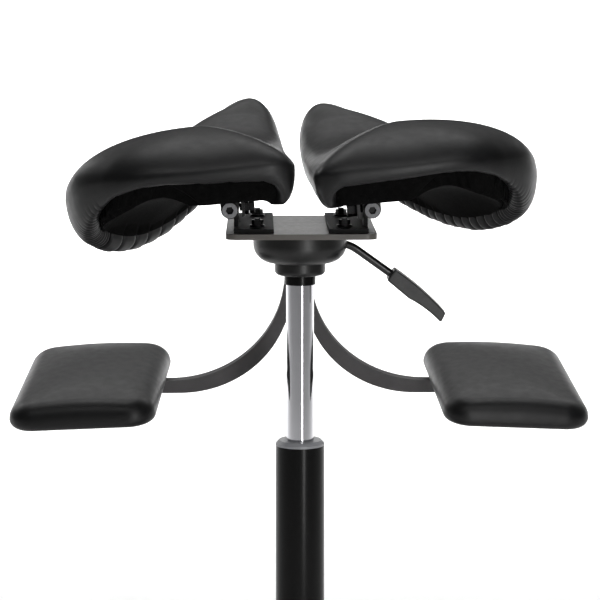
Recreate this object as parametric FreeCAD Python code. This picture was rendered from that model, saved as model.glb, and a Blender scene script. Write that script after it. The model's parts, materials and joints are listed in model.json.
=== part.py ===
"""Split-seat saddle stool with knee pads, gas lift, five-star base and twin-wheel casters.

Units are millimetres. The floor is z = 0, the column stands on the origin, the sitter faces +Y
and the sitter's right hand is at +X.
"""
import FreeCAD, Part
import math
import os

V = FreeCAD.Vector

# Fits and gaps, and how far a cutting shape runs past a face
FIT = 0.05
RUN_FIT = 0.1
SEAT_GAP = 0.3
PAST = 1.0

# Casters
WHEEL_R = 25.0
WHEEL_W = 18.0
WHEEL_ROUND = 3.0
WHEEL_SIDE_GAP = 0.6
DISH_R = 15.0
DISH_DEPTH = 2.5
AXLE_R = 3.0
HOOD_WEB = 12.0
HOOD_WALL = 2.5
HOOD_GAP = 2.0
HOOD_BOSS_R = 10.0
CASTER_TRAIL = 18.0
CASTER_H = 62.0
STEM_R = 5.5
STEM_GRIP = 22.0
STEM_ROOT = 18.0
SWIVEL_GAP = 0.5

# Five-star base
LEGS = 5
BASE_R = 285.0
HUB_R = 31.0
HUB_H = 70.0
LEG_W_HUB = 44.0
LEG_W_END = 32.0
LEG_H_HUB = 54.0
LEG_H_END = 28.0
LEG_ARCH = 6.0
LEG_WALL = 4.0
LEG_CROWN = 8.0
BOSS_LIP = 2.0
BOSS_PROUD = 3.0
BOSS_BELOW = 1.0
SOCKET_SPARE = 2.0

# Outer tube and guide bush
TUBE_R = 25.0
TUBE_WALL = 2.5
TUBE_ABOVE_HUB = 211.5
TUBE_DROP = 4.0
TUBE_FLOOR = 4.0
TAPER = 0.025
BUSH_LEN = 104.0
BUSH_FLANGE = 5.5
BUSH_BEVEL = 3.2

# Gas lift
CYL_R = 14.0
CYL_WALL = 2.0
LIFT_DOWN = 150.0
LIFT_UP = 50.0
LIFT_SPARE = 2.4
LIFT_LOW_GAP = 10.5
ROD_R = 5.0
ROD_TAIL = 7.0
COLLAR_R = 11.0
COLLAR_H = 3.0
CLIP_T = 1.5
CLIP_R = 9.0
CLIP_GROOVE = 1.2
CLIP_SLOT = 3.0
FLOOR_HOLE_GAP = 0.5
RACE_R = 11.0
RACE_H = 2.0
BALL_R = 2.0
BALLS = 8
BUFFER_R = 12.0
BUFFER_H = 9.0
GLAND_H = 16.0
PISTON_H = 12.0
PIN_R = 3.0
PIN_LEN = 14.0
PIN_OUT = 4.0
PIN_GAP = 0.3
VALVE_FLOOR = 5.0

# Seat plate, taper socket and cover
SOCKET_R = 16.0
SOCKET_H = 55.0
PLATE_W = 148.0
PLATE_D = 180.0
PLATE_T = 5.5
PLATE_CORNER = 11.0
COVER_WALL = 2.2
BOWL_R = 47.5
BOWL_H = 32.5
BOWL_ROUND = 19.0
NECK_R = 25.8
NECK_H = 13.0
NECK_ROUND = 5.0
EAR_R = 5.0
EAR_T = 2.5
EAR_ANGLES = (30.0, 150.0, 210.0, 330.0)
EAR_SCREW_R = 2.0
EAR_HEAD_R = 3.6
EAR_HEAD_H = 2.4
EAR_SCREW_SPARE = 1.0

# Height lever
LEVER_R = 4.0
LEVER_DROP = 13.0
LEVER_PIVOT_X = 22.0
LEVER_INNER_X = -1.0
LEVER_CORNER_X = 47.9
LEVER_SLOPE = 35.6
LEVER_BEND_R = 40.0
LEVER_REACH = 54.0
LEVER_GRIP = 30.0
LEVER_SWEEP = 8.0
EYE_R = 5.5
EYE_GAP = 1.2
CHEEK_T = 3.0
CHEEK_FRONT = 7.0
LEVER_PIN_R = 2.0
LEVER_PIN_OUT = 1.0
NOTCH_SIDE = 2.5
NOTCH_BELOW = 6.0
PADDLE_L = 68.0
PADDLE_W = 26.0
PADDLE_T = 14.0
PADDLE_TIP_T = 11.0
PADDLE_TIP_DROP = 6.5
PADDLE_EDGE = 2.0
PADDLE_DISH = 1.2
PADDLE_TIP_OUT = 2.0
PADDLE_WAIST_AT = 0.72
PADDLE_WAIST_DROP = 1.0
PADDLE_BELLY_AT = 0.42
PADDLE_BELLY_DROP = 2.2

# Seat hinges
PIVOT_X = 70.0
PIVOT_H = 21.0
BARREL_R = 9.0
BARREL_L = 108.0
HINGE_BOLT_R = 5.0
FOOT_FAR = 43.0
FOOT_NEAR = 4.0
FOOT_IN = PIVOT_X - FOOT_FAR
FOOT_OUT = PIVOT_X - FOOT_NEAR
FOOT_T = 4.0
FOOT_L = 160.0
WEB_T = 4.0
EAR_PLATE_T = 5.0
SIDE_GAP = 0.5
EAR_PLATE_R = 9.0
BRACKET_GAP = 2.7
BRACKET_T = 4.0
BRACKET_INWARD = 30.0
BRACKET_OUTWARD = 28.0
BRACKET_IN = PIVOT_X - BRACKET_INWARD
BRACKET_OUT = PIVOT_X + BRACKET_OUTWARD
LEAF_T = 3.0
LEAF_GAP = 2.5
LEAF_DROP = 8.0
CLAMP_R = 4.0
CLAMP_FROM_END = 16.0
CLAMP_Y = CLAMP_FROM_END - BARREL_L / 2
CLAMP_HEAD_AF = 13.0
CLAMP_HEAD_H = 5.5
CLAMP_NUT_H = 4.0
BOLT_HEAD_R = 7.5
BOLT_HEAD_H = 7.0
BOLT_SOCKET_AF = 7.0
BOLT_SOCKET_DEPTH = 4.0
BOLT_WASHER_R = 8.5
BOLT_WASHER_T = 1.5
BOLT_NUT_AF = 15.0
BOLT_NUT_H = 8.0
BOLT_STUB = 3.0
FOOT_BOLT_INWARD = 27.0
FOOT_BOLT_X = PIVOT_X - FOOT_BOLT_INWARD
FOOT_BOLT_Y = 50.0
M6_R = 3.0
M6_NUT_AF = 10.0
M6_NUT_H = 5.0
M6_WASHER_R = 7.5
M6_WASHER_T = 1.5
M6_HEAD_R = 5.5
M6_HEAD_H = 3.5
M6_STUB = 1.5

# Seat halves, drawn level on the sitter's right and mirrored for the left.
# Each station along Y gives the inner side (x, widest height, lowest height), the crown (x, height)
# and the outer side (x, widest height, lowest height) of the cushion, heights over the hinge bolt.
STATIONS = (
    (-174.0, (44.0, 53.0, 42.0), (92.0, 64.0), (138.0, 51.0, 39.0)),
    (-166.0, (23.0, 49.0, 27.0), (94.0, 79.0), (166.0, 45.0, 23.0)),
    (-148.0, (11.0, 45.0, 15.0), (96.0, 88.0), (192.0, 41.0, 12.0)),
    (-110.0, (9.0, 44.0, 13.0), (94.0, 85.0), (222.0, 31.0, -4.0)),
    (-60.0, (9.0, 44.0, 13.0), (86.0, 72.0), (230.0, 18.0, -20.0)),
    (0.0, (10.0, 44.0, 13.0), (72.0, 64.0), (200.0, -2.0, -35.0)),
    (55.0, (10.0, 46.0, 13.0), (60.0, 67.0), (164.0, -1.0, -29.0)),
    (105.0, (10.0, 50.0, 14.0), (48.0, 81.0), (126.0, 21.0, -7.0)),
    (145.0, (12.0, 57.0, 20.0), (39.0, 96.0), (102.0, 45.0, 17.0)),
    (172.0, (19.0, 64.0, 36.0), (40.0, 93.0), (84.0, 59.0, 42.0)),
    (186.0, (30.0, 70.0, 59.0), (43.0, 81.0), (60.0, 69.0, 60.0)),
)
PAN_STATIONS = STATIONS[2:9]
SEAT_ROLL = -5.0
QUARTER = math.sin(math.radians(45.0))
ROLL_W = 20.0
INNER_ROLL_W = 13.0
BOARD_OUT = 30.0
BOARD_SHARE = 0.6
HOLLOW = 12.0
HOLLOW_SHARE = 0.05
PAN_INSET = 30.0
PAN_INNER = 26.0
PAN_SHARE = 0.25
PAN_RISE = 10.0
PAN_T = 14.0
POCKET_DROP = 56.0
DUST_T = 1.2
DUST_GAP = 0.2
SCREW_R = 2.5
SCREW_HEAD_R = 5.0
SCREW_HEAD_H = 3.2
SCREW_GRIP = 10.0
SCREW_OUTWARD = 20.0
SCREW_OUT_X = PIVOT_X + SCREW_OUTWARD
SCREW_OUT_Y = (-45.0, 0.0, 45.0)
SCREW_INWARD = 23.0
SCREW_IN_X = PIVOT_X - SCREW_INWARD
SCREW_IN_Y = (-15.0, 35.0)

# Knee support: the arm lies in a plane that leans forward at the bottom
ARM_TILT = 15.0
ARM_ROOT_Y = 120.0
ARM_ROOT_DROP = 8.5
ARM_T = 8.0
ARM_W = 15.0
STEM_IN = 0.4
STEM_OUT = 14.5
ARM_BEND_R = 124.5
ARM_BEND_DOWN = 57.0
ARM_OUTER_R = 121.5
ARM_ROOT_DOWN = 83.0
ARM_MEET_ANGLE = 22.0
ARM_PAST_PAD = 16.4
HANGER_W = 28.0
HANGER_T = 6.0
HANGER_BACK = 54.0
HANGER_DOWN = 66.0
ARM_BOLT_X = 7.5
ARM_BOLT_DOWN = (18.0, 48.0)
PAD_PAST_BEND = 80.6
PAD_BACK = 62.0
PAD_OVER_ARM = 6.4
PAD_W = 153.0
PAD_L = 208.0
PAD_EDGE_T = 24.0
PAD_CROWN = 9.0
PAD_CORNER = 28.0
PAD_ROUND = 9.0
PAD_LOW_ROUND = 8.0
PAD_PITCH = 10.2
PAD_ROLL = 3.0
PAD_TOE = 4.2
KNEE_BOARD_T = 9.0
KNEE_BOARD_EDGE = 14.0
KNEE_SCREW_SPARE = 2.0
TAB_W = 90.0
TAB_BACK = -35.0
TAB_FRONT = 82.0
TAB_T = 6.0
TAB_SCREW_X = 33.0
TAB_SCREW_Y = (-20.0, 40.0)

# Levels worked out from the sizes above
HUB_Z0 = CASTER_H
HUB_Z1 = HUB_Z0 + HUB_H
TUBE_Z0 = HUB_Z0 - TUBE_DROP
TUBE_TOP = HUB_Z1 + TUBE_ABOVE_HUB
TUBE_FOOT_R = TUBE_R - TAPER * HUB_H
FLOOR_TOP = TUBE_Z0 + TUBE_FLOOR
COLLAR_Z0 = FLOOR_TOP + RACE_H + 2 * (BALL_R + RUN_FIT)
BUFFER_Z0 = COLLAR_Z0 + COLLAR_H
BUFFER_Z1 = BUFFER_Z0 + BUFFER_H
CYL_Z0 = BUFFER_Z1 + LIFT_DOWN + LIFT_SPARE
BUSH_TOP = TUBE_TOP + BUSH_FLANGE
SOCKET_Z0 = BUSH_TOP + LIFT_DOWN + LIFT_LOW_GAP
PLATE_Z0 = SOCKET_Z0 + SOCKET_H
PLATE_Z1 = PLATE_Z0 + PLATE_T
LEVER_Z = PLATE_Z0 - LEVER_DROP
PIN_TOP = LEVER_Z - LEVER_R - PIN_GAP
CYL_TOP = PIN_TOP - PIN_OUT
PIN_Z0 = PIN_TOP - PIN_LEN
PIN_TRAVEL = LEVER_PIVOT_X * math.radians(LEVER_SWEEP)
VALVE_Z = PIN_Z0 - PIN_TRAVEL - SEAT_GAP
CYL_TOP_R = CYL_R - TAPER * (CYL_TOP - SOCKET_Z0)
ROD_TOP = CYL_Z0 + GLAND_H + LIFT_UP + LIFT_SPARE + PISTON_H
PIVOT_Z = PLATE_Z1 + PIVOT_H
BRACKET_Z0 = PIVOT_Z + BARREL_R + BRACKET_GAP
BRACKET_Z1 = BRACKET_Z0 + BRACKET_T
PAN_Z0 = BRACKET_Z1 + DUST_T + 2 * DUST_GAP
FOOT_Z1 = PLATE_Z1 + FOOT_T
ARM_ROOT_Z = PLATE_Z0 - ARM_ROOT_DROP
ARM_LOW = ARM_BEND_DOWN + ARM_BEND_R
PAD_X = STEM_OUT + ARM_BEND_R + PAD_PAST_BEND
PAD_Y = ARM_ROOT_Y + ARM_LOW * math.sin(math.radians(ARM_TILT)) - PAD_BACK
PAD_Z = ARM_ROOT_Z - ARM_LOW * math.cos(math.radians(ARM_TILT)) + PAD_OVER_ARM
ARM_TIP_X = PAD_X + ARM_PAST_PAD


def box(x0, x1, y0, y1, z0, z1):
    return Part.makeBox(x1 - x0, y1 - y0, z1 - z0, V(x0, y0, z0))


def post(radius, z0, z1, x=0.0, y=0.0):
    return Part.makeCylinder(radius, z1 - z0, V(x, y, z0))


def cross_bar(radius, y0, y1, x, z):
    """Round bar along Y."""
    return Part.makeCylinder(radius, y1 - y0, V(x, y0, z), V(0, 1, 0))


def side_bar(radius, x0, x1, y, z):
    """Round bar along X."""
    return Part.makeCylinder(radius, x1 - x0, V(x0, y, z), V(1, 0, 0))


def ring(outer, inner, z0, z1):
    return post(outer, z0, z1).cut(post(inner, z0 - PAST, z1 + PAST))


def turned(profile):
    """Solid of revolution about Z from (radius, height) corners."""
    points = [V(r, 0, z) for r, z in profile]
    face = Part.Face(Part.makePolygon(points + points[:1]))
    return face.revolve(V(0, 0, 0), V(0, 0, 1), 360)


def hex_prism(across_flats, height, base, axis):
    """Hexagonal prism that starts at base and runs along axis."""
    radius = across_flats / 2 / math.cos(math.radians(30))
    turns = [math.radians(60 * i) for i in range(7)]
    corners = [V(radius * math.cos(turn), radius * math.sin(turn), 0) for turn in turns]
    prism = Part.Face(Part.makePolygon(corners)).extrude(V(0, 0, height))
    prism.Placement = FreeCAD.Placement(base, FreeCAD.Rotation(V(0, 0, 1), axis))
    return prism


def fused(shapes):
    return shapes[0].multiFuse(shapes[1:]).removeSplitter()


def loft(wires):
    return Part.makeLoft(wires, True, False, False)


def mirrored(shape, side):
    """The shape itself on the sitter's right (side 1), its mirror image on the left (side -1)."""
    if side > 0:
        return shape
    return shape.mirror(V(0, 0, 0), V(1, 0, 0))


def save(node, *solids):
    """Write one node: a single solid, or a group of separate solids."""
    found = [solid for shape in solids for solid in shape.Solids]
    shape = found[0] if len(found) == 1 else Part.makeCompound(found)
    bad = [solid for solid in found if not solid.isValid() or solid.Volume <= 0]
    print(node, len(found), "solids", round(shape.Volume / 1000, 2), "cm3", "BAD" if bad else "")
    shape.exportStep(f"parts/{node}.step")


def leg_section(reach, width, z0, z1, crown):
    """Leg cross-section with a flat bottom and an arched top, square to the leg."""
    half = width / 2
    a, b = V(reach, -half, z0), V(reach, half, z0)
    c, d = V(reach, half, z1 - crown), V(reach, -half, z1 - crown)
    arch = Part.Arc(c, V(reach, 0, z1), d).toShape()
    return Part.Wire([Part.makeLine(a, b), Part.makeLine(b, c), arch, Part.makeLine(d, a)])


def base_star():
    boss_r = LEG_W_END / 2 + BOSS_LIP
    inside = HUB_R / 2
    hub_top = HUB_Z0 + LEG_ARCH + LEG_H_HUB
    end_top = CASTER_H + LEG_H_END

    def level(reach, at_hub, at_end):
        share = (reach - inside) / (BASE_R - inside)
        return at_hub + (at_end - at_hub) * share

    def beam(reach_0, reach_1, wall):
        wires = []
        for reach in (reach_0, reach_1):
            width = level(reach, LEG_W_HUB, LEG_W_END) - 2 * wall
            low = level(reach, HUB_Z0 + LEG_ARCH, CASTER_H + BOSS_BELOW) - wall
            high = level(reach, hub_top, end_top - BOSS_PROUD) - wall
            wires.append(leg_section(reach, width, low, high, LEG_CROWN))
        return Part.makeLoft(wires, True, True, False)

    leg = beam(inside, BASE_R, 0.0).cut(beam(HUB_R + LEG_WALL, BASE_R - boss_r - LEG_WALL, LEG_WALL))
    boss = post(boss_r, CASTER_H, end_top, BASE_R)
    socket = post(STEM_R + RUN_FIT, CASTER_H - PAST, CASTER_H + STEM_GRIP + SOCKET_SPARE, BASE_R)
    arm = fused([leg, boss]).cut(socket)
    arms = []
    for i in range(LEGS):
        copy = arm.copy()
        copy.rotate(V(0, 0, 0), V(0, 0, 1), leg_angle(i))
        arms.append(copy)
    star = fused([post(HUB_R, HUB_Z0, HUB_Z1)] + arms)
    bore = turned([
        (0, HUB_Z0 - PAST), (TUBE_FOOT_R + FIT, HUB_Z0 - PAST), (TUBE_FOOT_R + FIT, HUB_Z0),
        (TUBE_R + FIT, HUB_Z1), (TUBE_R + FIT, HUB_Z1 + PAST), (0, HUB_Z1 + PAST),
    ])
    save("base_star", star.cut(bore))


def leg_angle(i):
    return 90.0 + 360.0 / LEGS * i


def caster(i):
    """Twin-wheel caster under leg i: its stem is on the leg's end and its axle trails behind the stem."""
    wheel_in = HOOD_WEB / 2 + WHEEL_SIDE_GAP
    wheel_out = wheel_in + WHEEL_W
    axle_x = -CASTER_TRAIL
    hood_r = WHEEL_R + HOOD_GAP + HOOD_WALL
    top = CASTER_H - SWIVEL_GAP
    web = cross_bar(WHEEL_R - HOOD_GAP, -HOOD_WEB / 2, HOOD_WEB / 2, axle_x, WHEEL_R)
    shell = cross_bar(hood_r, -wheel_out, wheel_out, axle_x, WHEEL_R)
    shell = shell.cut(cross_bar(hood_r - HOOD_WALL, -wheel_out - PAST, wheel_out + PAST, axle_x, WHEEL_R))
    low_x0, low_x1 = axle_x - hood_r - PAST, axle_x + hood_r + PAST
    shell = shell.cut(box(low_x0, low_x1, -wheel_out - PAST, wheel_out + PAST, -hood_r, WHEEL_R))
    bridge_top = WHEEL_R + hood_r - HOOD_WALL
    bridge = box(axle_x - hood_r / 2, HOOD_BOSS_R / 2, -HOOD_WEB / 2, HOOD_WEB / 2, WHEEL_R, bridge_top)
    bridge = bridge.common(cross_bar(hood_r - HOOD_WALL / 2, -HOOD_WEB, HOOD_WEB, axle_x, WHEEL_R))
    boss = post(HOOD_BOSS_R, WHEEL_R + HOOD_GAP, top)
    wheel_room = []
    for sign in (-1, 1):
        y0, y1 = sorted((sign * HOOD_WEB / 2, sign * (wheel_out + PAST)))
        wheel_room.append(cross_bar(WHEEL_R + HOOD_GAP, y0, y1, axle_x, WHEEL_R))
    for room in wheel_room:
        boss = boss.cut(room)
    hood = fused([web, shell, bridge, boss])
    stem_z0 = CASTER_H - STEM_ROOT
    hood = hood.cut(post(STEM_R + FIT, stem_z0, top + PAST))
    hood = hood.cut(cross_bar(AXLE_R + FIT, -HOOD_WEB, HOOD_WEB, axle_x, WHEEL_R))
    stem = post(STEM_R, stem_z0, CASTER_H + STEM_GRIP)
    axle = cross_bar(AXLE_R, -wheel_out + DISH_DEPTH, wheel_out - DISH_DEPTH, axle_x, WHEEL_R)
    wheels = []
    for sign in (-1, 1):
        y0, y1 = sorted((sign * wheel_in, sign * wheel_out))
        wheel = cross_bar(WHEEL_R, y0, y1, axle_x, WHEEL_R)
        rims = [edge for edge in wheel.Edges if edge.Curve.TypeId == "Part::GeomCircle"]
        wheel = wheel.makeFillet(WHEEL_ROUND, rims)
        d0, d1 = sorted((sign * (wheel_out - DISH_DEPTH), sign * (wheel_out + PAST)))
        wheel = wheel.cut(cross_bar(DISH_R, d0, d1, axle_x, WHEEL_R))
        wheels.append(wheel.cut(cross_bar(AXLE_R + RUN_FIT, y0 - PAST, y1 + PAST, axle_x, WHEEL_R)))
    for name, solids in (("hood", [hood]), ("pins", [stem, axle]), ("wheels", wheels)):
        placed = []
        for solid in solids:
            solid.translate(V(BASE_R, 0, 0))
            solid.rotate(V(0, 0, 0), V(0, 0, 1), leg_angle(i))
            placed.append(solid)
        save(f"caster_{name}_{i + 1}", *placed)


def gas_lift():
    inner_r = TUBE_R - TUBE_WALL
    foot_inner = TUBE_FOOT_R - TUBE_WALL
    hole_r = ROD_R + FLOOR_HOLE_GAP
    save("outer_tube", turned([
        (hole_r, TUBE_Z0), (TUBE_FOOT_R, TUBE_Z0), (TUBE_FOOT_R, HUB_Z0), (TUBE_R, HUB_Z1),
        (TUBE_R, TUBE_TOP), (inner_r, TUBE_TOP), (inner_r, HUB_Z1), (foot_inner, HUB_Z0),
        (foot_inner, FLOOR_TOP), (hole_r, FLOOR_TOP),
    ]))
    bush_r = inner_r - FIT
    bush_in = CYL_R + RUN_FIT
    bush_z0 = TUBE_TOP - BUSH_LEN
    bevel_r = TUBE_R - BUSH_BEVEL
    save("guide_bush", turned([
        (bush_in, bush_z0), (bush_r, bush_z0), (bush_r, TUBE_TOP), (TUBE_R, TUBE_TOP),
        (TUBE_R, BUSH_TOP - BUSH_BEVEL), (bevel_r, BUSH_TOP), (bush_in, BUSH_TOP),
    ]))
    balls = []
    pitch_r = (hole_r + RACE_R) / 2
    ball_z = FLOOR_TOP + RACE_H + RUN_FIT + BALL_R
    for i in range(BALLS):
        angle = 2 * math.pi * i / BALLS
        centre = V(pitch_r * math.cos(angle), pitch_r * math.sin(angle), ball_z)
        balls.append(Part.makeSphere(BALL_R, centre))
    save("thrust_bearing", ring(RACE_R, hole_r, FLOOR_TOP, FLOOR_TOP + RACE_H), *balls)
    groove_r = ROD_R - CLIP_GROOVE
    clip_z1 = TUBE_Z0 - SEAT_GAP
    clip_z0 = clip_z1 - CLIP_T
    save("piston_rod", turned([
        (0, TUBE_Z0 - ROD_TAIL), (ROD_R, TUBE_Z0 - ROD_TAIL), (ROD_R, clip_z0 - FIT),
        (groove_r, clip_z0 - FIT), (groove_r, clip_z1 + FIT), (ROD_R, clip_z1 + FIT),
        (ROD_R, COLLAR_Z0), (COLLAR_R, COLLAR_Z0),
        (COLLAR_R, BUFFER_Z0), (ROD_R, BUFFER_Z0), (ROD_R, ROD_TOP), (0, ROD_TOP),
    ]))
    clip = ring(CLIP_R, groove_r + FIT, clip_z0, clip_z1)
    slot_half = CLIP_SLOT / 2
    save("rod_clip", clip.cut(box(0, CLIP_R + PAST, -slot_half, slot_half, clip_z0 - PAST, clip_z1 + PAST)))
    save("bump_stop", ring(BUFFER_R, ROD_R + FIT, BUFFER_Z0, BUFFER_Z1))
    bore_r = CYL_R - CYL_WALL
    save("piston_head", ring(bore_r - RUN_FIT, ROD_R + FIT, ROD_TOP - PISTON_H, ROD_TOP))
    tube = turned([(0, CYL_Z0), (CYL_R, CYL_Z0), (CYL_R, SOCKET_Z0), (CYL_TOP_R, CYL_TOP), (0, CYL_TOP)])
    tube = tube.cut(post(bore_r, CYL_Z0 - PAST, VALVE_Z - VALVE_FLOOR))
    save("pressure_tube", tube.cut(post(PIN_R + RUN_FIT, VALVE_Z, CYL_TOP + PAST)))
    save("tube_gland", ring(bore_r - FIT, ROD_R + RUN_FIT, CYL_Z0, CYL_Z0 + GLAND_H))
    save("release_pin", post(PIN_R, PIN_Z0, PIN_TOP))


def ear_points():
    reach = BOWL_R + EAR_HEAD_R + RUN_FIT
    return [(reach * math.cos(math.radians(a)), reach * math.sin(math.radians(a))) for a in EAR_ANGLES]


def seat_plate_and_cover():
    plate = box(-PLATE_W / 2, PLATE_W / 2, -PLATE_D / 2, PLATE_D / 2, PLATE_Z0, PLATE_Z1)
    upright = [e for e in plate.Edges if abs(e.Vertexes[0].Z - e.Vertexes[1].Z) > PLATE_T / 2]
    plate = plate.makeFillet(PLATE_CORNER, upright)
    screw_top = PLATE_Z1 - EAR_SCREW_SPARE
    for x, y in ear_points():
        plate = plate.cut(post(EAR_SCREW_R + FIT, PLATE_Z0 - PAST, screw_top + FIT, x, y))
    for x, y in foot_bolt_points():
        plate = plate.cut(post(M6_R + RUN_FIT, PLATE_Z0 - PAST, PLATE_Z1 + PAST, x, y))
    save("seat_plate", plate)

    socket = post(SOCKET_R, SOCKET_Z0, PLATE_Z0).cut(turned([
        (0, SOCKET_Z0 - PAST), (CYL_R + FIT, SOCKET_Z0 - PAST), (CYL_R + FIT, SOCKET_Z0),
        (CYL_TOP_R + FIT, CYL_TOP), (CYL_TOP_R + FIT, PLATE_Z0 + PAST), (0, PLATE_Z0 + PAST),
    ]))
    slot_half = LEVER_R + EYE_GAP
    slot = box(0, SOCKET_R + PAST, -slot_half, slot_half, CYL_TOP, PLATE_Z0 + PAST)
    save("taper_socket", socket.cut(slot))

    cover_top = PLATE_Z0 - SEAT_GAP
    shell = cover_form(cover_top, 0.0).cut(cover_form(cover_top, COVER_WALL))
    shell = shell.cut(post(SOCKET_R + SEAT_GAP, SOCKET_Z0 - PAST, cover_top))
    for x, y in ear_points():
        shell = shell.fuse(post(EAR_R, cover_top - EAR_T, cover_top, x, y))
    shell = shell.cut(cover_form(cover_top, COVER_WALL))
    for x, y in ear_points():
        shell = shell.cut(post(EAR_SCREW_R + FIT, cover_top - EAR_T - PAST, cover_top + PAST, x, y))
    notch_half = LEVER_R + NOTCH_SIDE
    notch_z0 = LEVER_Z - LEVER_R - NOTCH_BELOW
    notch_x0, notch_z1 = BOWL_R - BOWL_ROUND, cover_top + PAST
    shell = shell.cut(box(notch_x0, BOWL_R + PAST, -notch_half, notch_half, notch_z0, notch_z1))
    save("mechanism_cover", shell.removeSplitter())
    screws = []
    for x, y in ear_points():
        head_z1 = cover_top - EAR_T
        head = post(EAR_HEAD_R, head_z1 - EAR_HEAD_H, head_z1, x, y)
        screws.append(head.fuse(post(EAR_SCREW_R, head_z1, screw_top, x, y)))
    save("cover_screws", *screws)


def cover_form(top, inset):
    """Bowl and neck as one solid of revolution, drawn in by inset to give the inside."""
    z_bowl = PLATE_Z0 - BOWL_H + inset
    z_neck = PLATE_Z0 - BOWL_H - NECK_H + inset
    r_bowl = BOWL_R - inset
    r_neck = NECK_R - inset
    bowl_round = BOWL_ROUND - inset
    neck_round = NECK_ROUND - inset
    bowl_mid = V(r_bowl - bowl_round * (1 - QUARTER), 0, z_bowl + bowl_round * (1 - QUARTER))
    neck_mid = V(r_neck - neck_round * (1 - QUARTER), 0, z_neck + neck_round * (1 - QUARTER))
    up = top + (PAST if inset else 0.0)
    a, b, c = V(0, 0, up), V(r_bowl, 0, up), V(r_bowl, 0, z_bowl + bowl_round)
    d, e = V(r_bowl - bowl_round, 0, z_bowl), V(r_neck, 0, z_bowl)
    f, g, h = V(r_neck, 0, z_neck + neck_round), V(r_neck - neck_round, 0, z_neck), V(0, 0, z_neck)
    edges = [Part.makeLine(a, b), Part.makeLine(b, c), Part.Arc(c, bowl_mid, d).toShape()]
    edges += [Part.makeLine(d, e), Part.makeLine(e, f), Part.Arc(f, neck_mid, g).toShape()]
    edges += [Part.makeLine(g, h), Part.makeLine(h, a)]
    return Part.Face(Part.Wire(edges)).revolve(V(0, 0, 0), V(0, 0, 1), 360)


def height_lever():
    slope = math.radians(LEVER_SLOPE)
    tangent = LEVER_BEND_R * math.tan(slope / 2)
    down = V(math.cos(slope), 0, -math.sin(slope))
    corner = V(LEVER_CORNER_X, 0, LEVER_Z)
    start = V(LEVER_INNER_X, 0, LEVER_Z)
    bend_0 = V(LEVER_CORNER_X - tangent, 0, LEVER_Z)
    bend_1 = corner + down * tangent
    centre = bend_0 - V(0, 0, LEVER_BEND_R)
    middle = centre + V(math.sin(slope / 2), 0, math.cos(slope / 2)) * LEVER_BEND_R
    paddle_at = corner + down * LEVER_REACH
    end = paddle_at + down * LEVER_GRIP
    path = Part.Wire([
        Part.makeLine(start, bend_0), Part.Arc(bend_0, middle, bend_1).toShape(),
        Part.makeLine(bend_1, end),
    ])
    profile = Part.Wire(Part.makeCircle(LEVER_R, start, V(1, 0, 0)))
    rod = path.makePipeShell([profile], True, False)
    eye = cross_bar(EYE_R, -LEVER_R, LEVER_R, LEVER_PIVOT_X, LEVER_Z)
    eye_hole = cross_bar(LEVER_PIN_R + RUN_FIT, -LEVER_R - PAST, LEVER_R + PAST, LEVER_PIVOT_X, LEVER_Z)
    save("lever_rod", fused([rod, eye]).cut(eye_hole))

    cheek_in = LEVER_R + EYE_GAP
    cheek_out = cheek_in + CHEEK_T
    x0 = SOCKET_R + SEAT_GAP
    x1 = LEVER_PIVOT_X + CHEEK_FRONT
    bracket = box(x0, x1, -cheek_out, cheek_out, LEVER_Z - EYE_R, PLATE_Z0)
    room_z0, room_z1 = LEVER_Z - EYE_R - PAST, PLATE_Z0 - CHEEK_T
    bracket = bracket.cut(box(x0 - PAST, x1 + PAST, -cheek_in, cheek_in, room_z0, room_z1))
    pin_end = cheek_out + LEVER_PIN_OUT
    pin_hole = cross_bar(LEVER_PIN_R + FIT, -pin_end, pin_end, LEVER_PIVOT_X, LEVER_Z)
    save("lever_bracket", bracket.cut(pin_hole))
    save("lever_pivot_pin", cross_bar(LEVER_PIN_R, -pin_end, pin_end, LEVER_PIVOT_X, LEVER_Z))

    across = V(math.sin(slope), 0, math.cos(slope))

    def at(along, above):
        return paddle_at + down * along + across * above

    half_t = PADDLE_T / 2
    low = PADDLE_TIP_DROP - half_t
    top_0, top_mid, top_1 = at(0, half_t), at(PADDLE_L / 2, half_t - PADDLE_DISH), at(PADDLE_L, -low)
    tip = at(PADDLE_L + PADDLE_TIP_OUT, -low - PADDLE_TIP_T)
    waist = at(PADDLE_L * PADDLE_WAIST_AT, -half_t - PADDLE_WAIST_DROP)
    belly = at(PADDLE_L * PADDLE_BELLY_AT, -half_t - PADDLE_BELLY_DROP)
    edges = [Part.Arc(top_0, top_mid, top_1).toShape(), Part.makeLine(top_1, tip)]
    edges += [Part.Arc(tip, waist, belly).toShape(), Part.makeLine(belly, at(0, -half_t))]
    edges += [Part.makeLine(at(0, -half_t), top_0)]
    face = Part.Face(Part.Wire(edges))
    face.translate(V(0, -PADDLE_W / 2, 0))
    paddle = face.extrude(V(0, PADDLE_W, 0))
    paddle = paddle.makeFillet(PADDLE_EDGE, paddle.Edges)
    hole = Part.makeCylinder(LEVER_R + FIT, LEVER_GRIP + PAST + FIT, paddle_at - down * PAST, down)
    save("lever_paddle", paddle.cut(hole))


def foot_bolt_points():
    return [(sx * FOOT_BOLT_X, sy * FOOT_BOLT_Y) for sx in (-1, 1) for sy in (-1, 1)]


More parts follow.
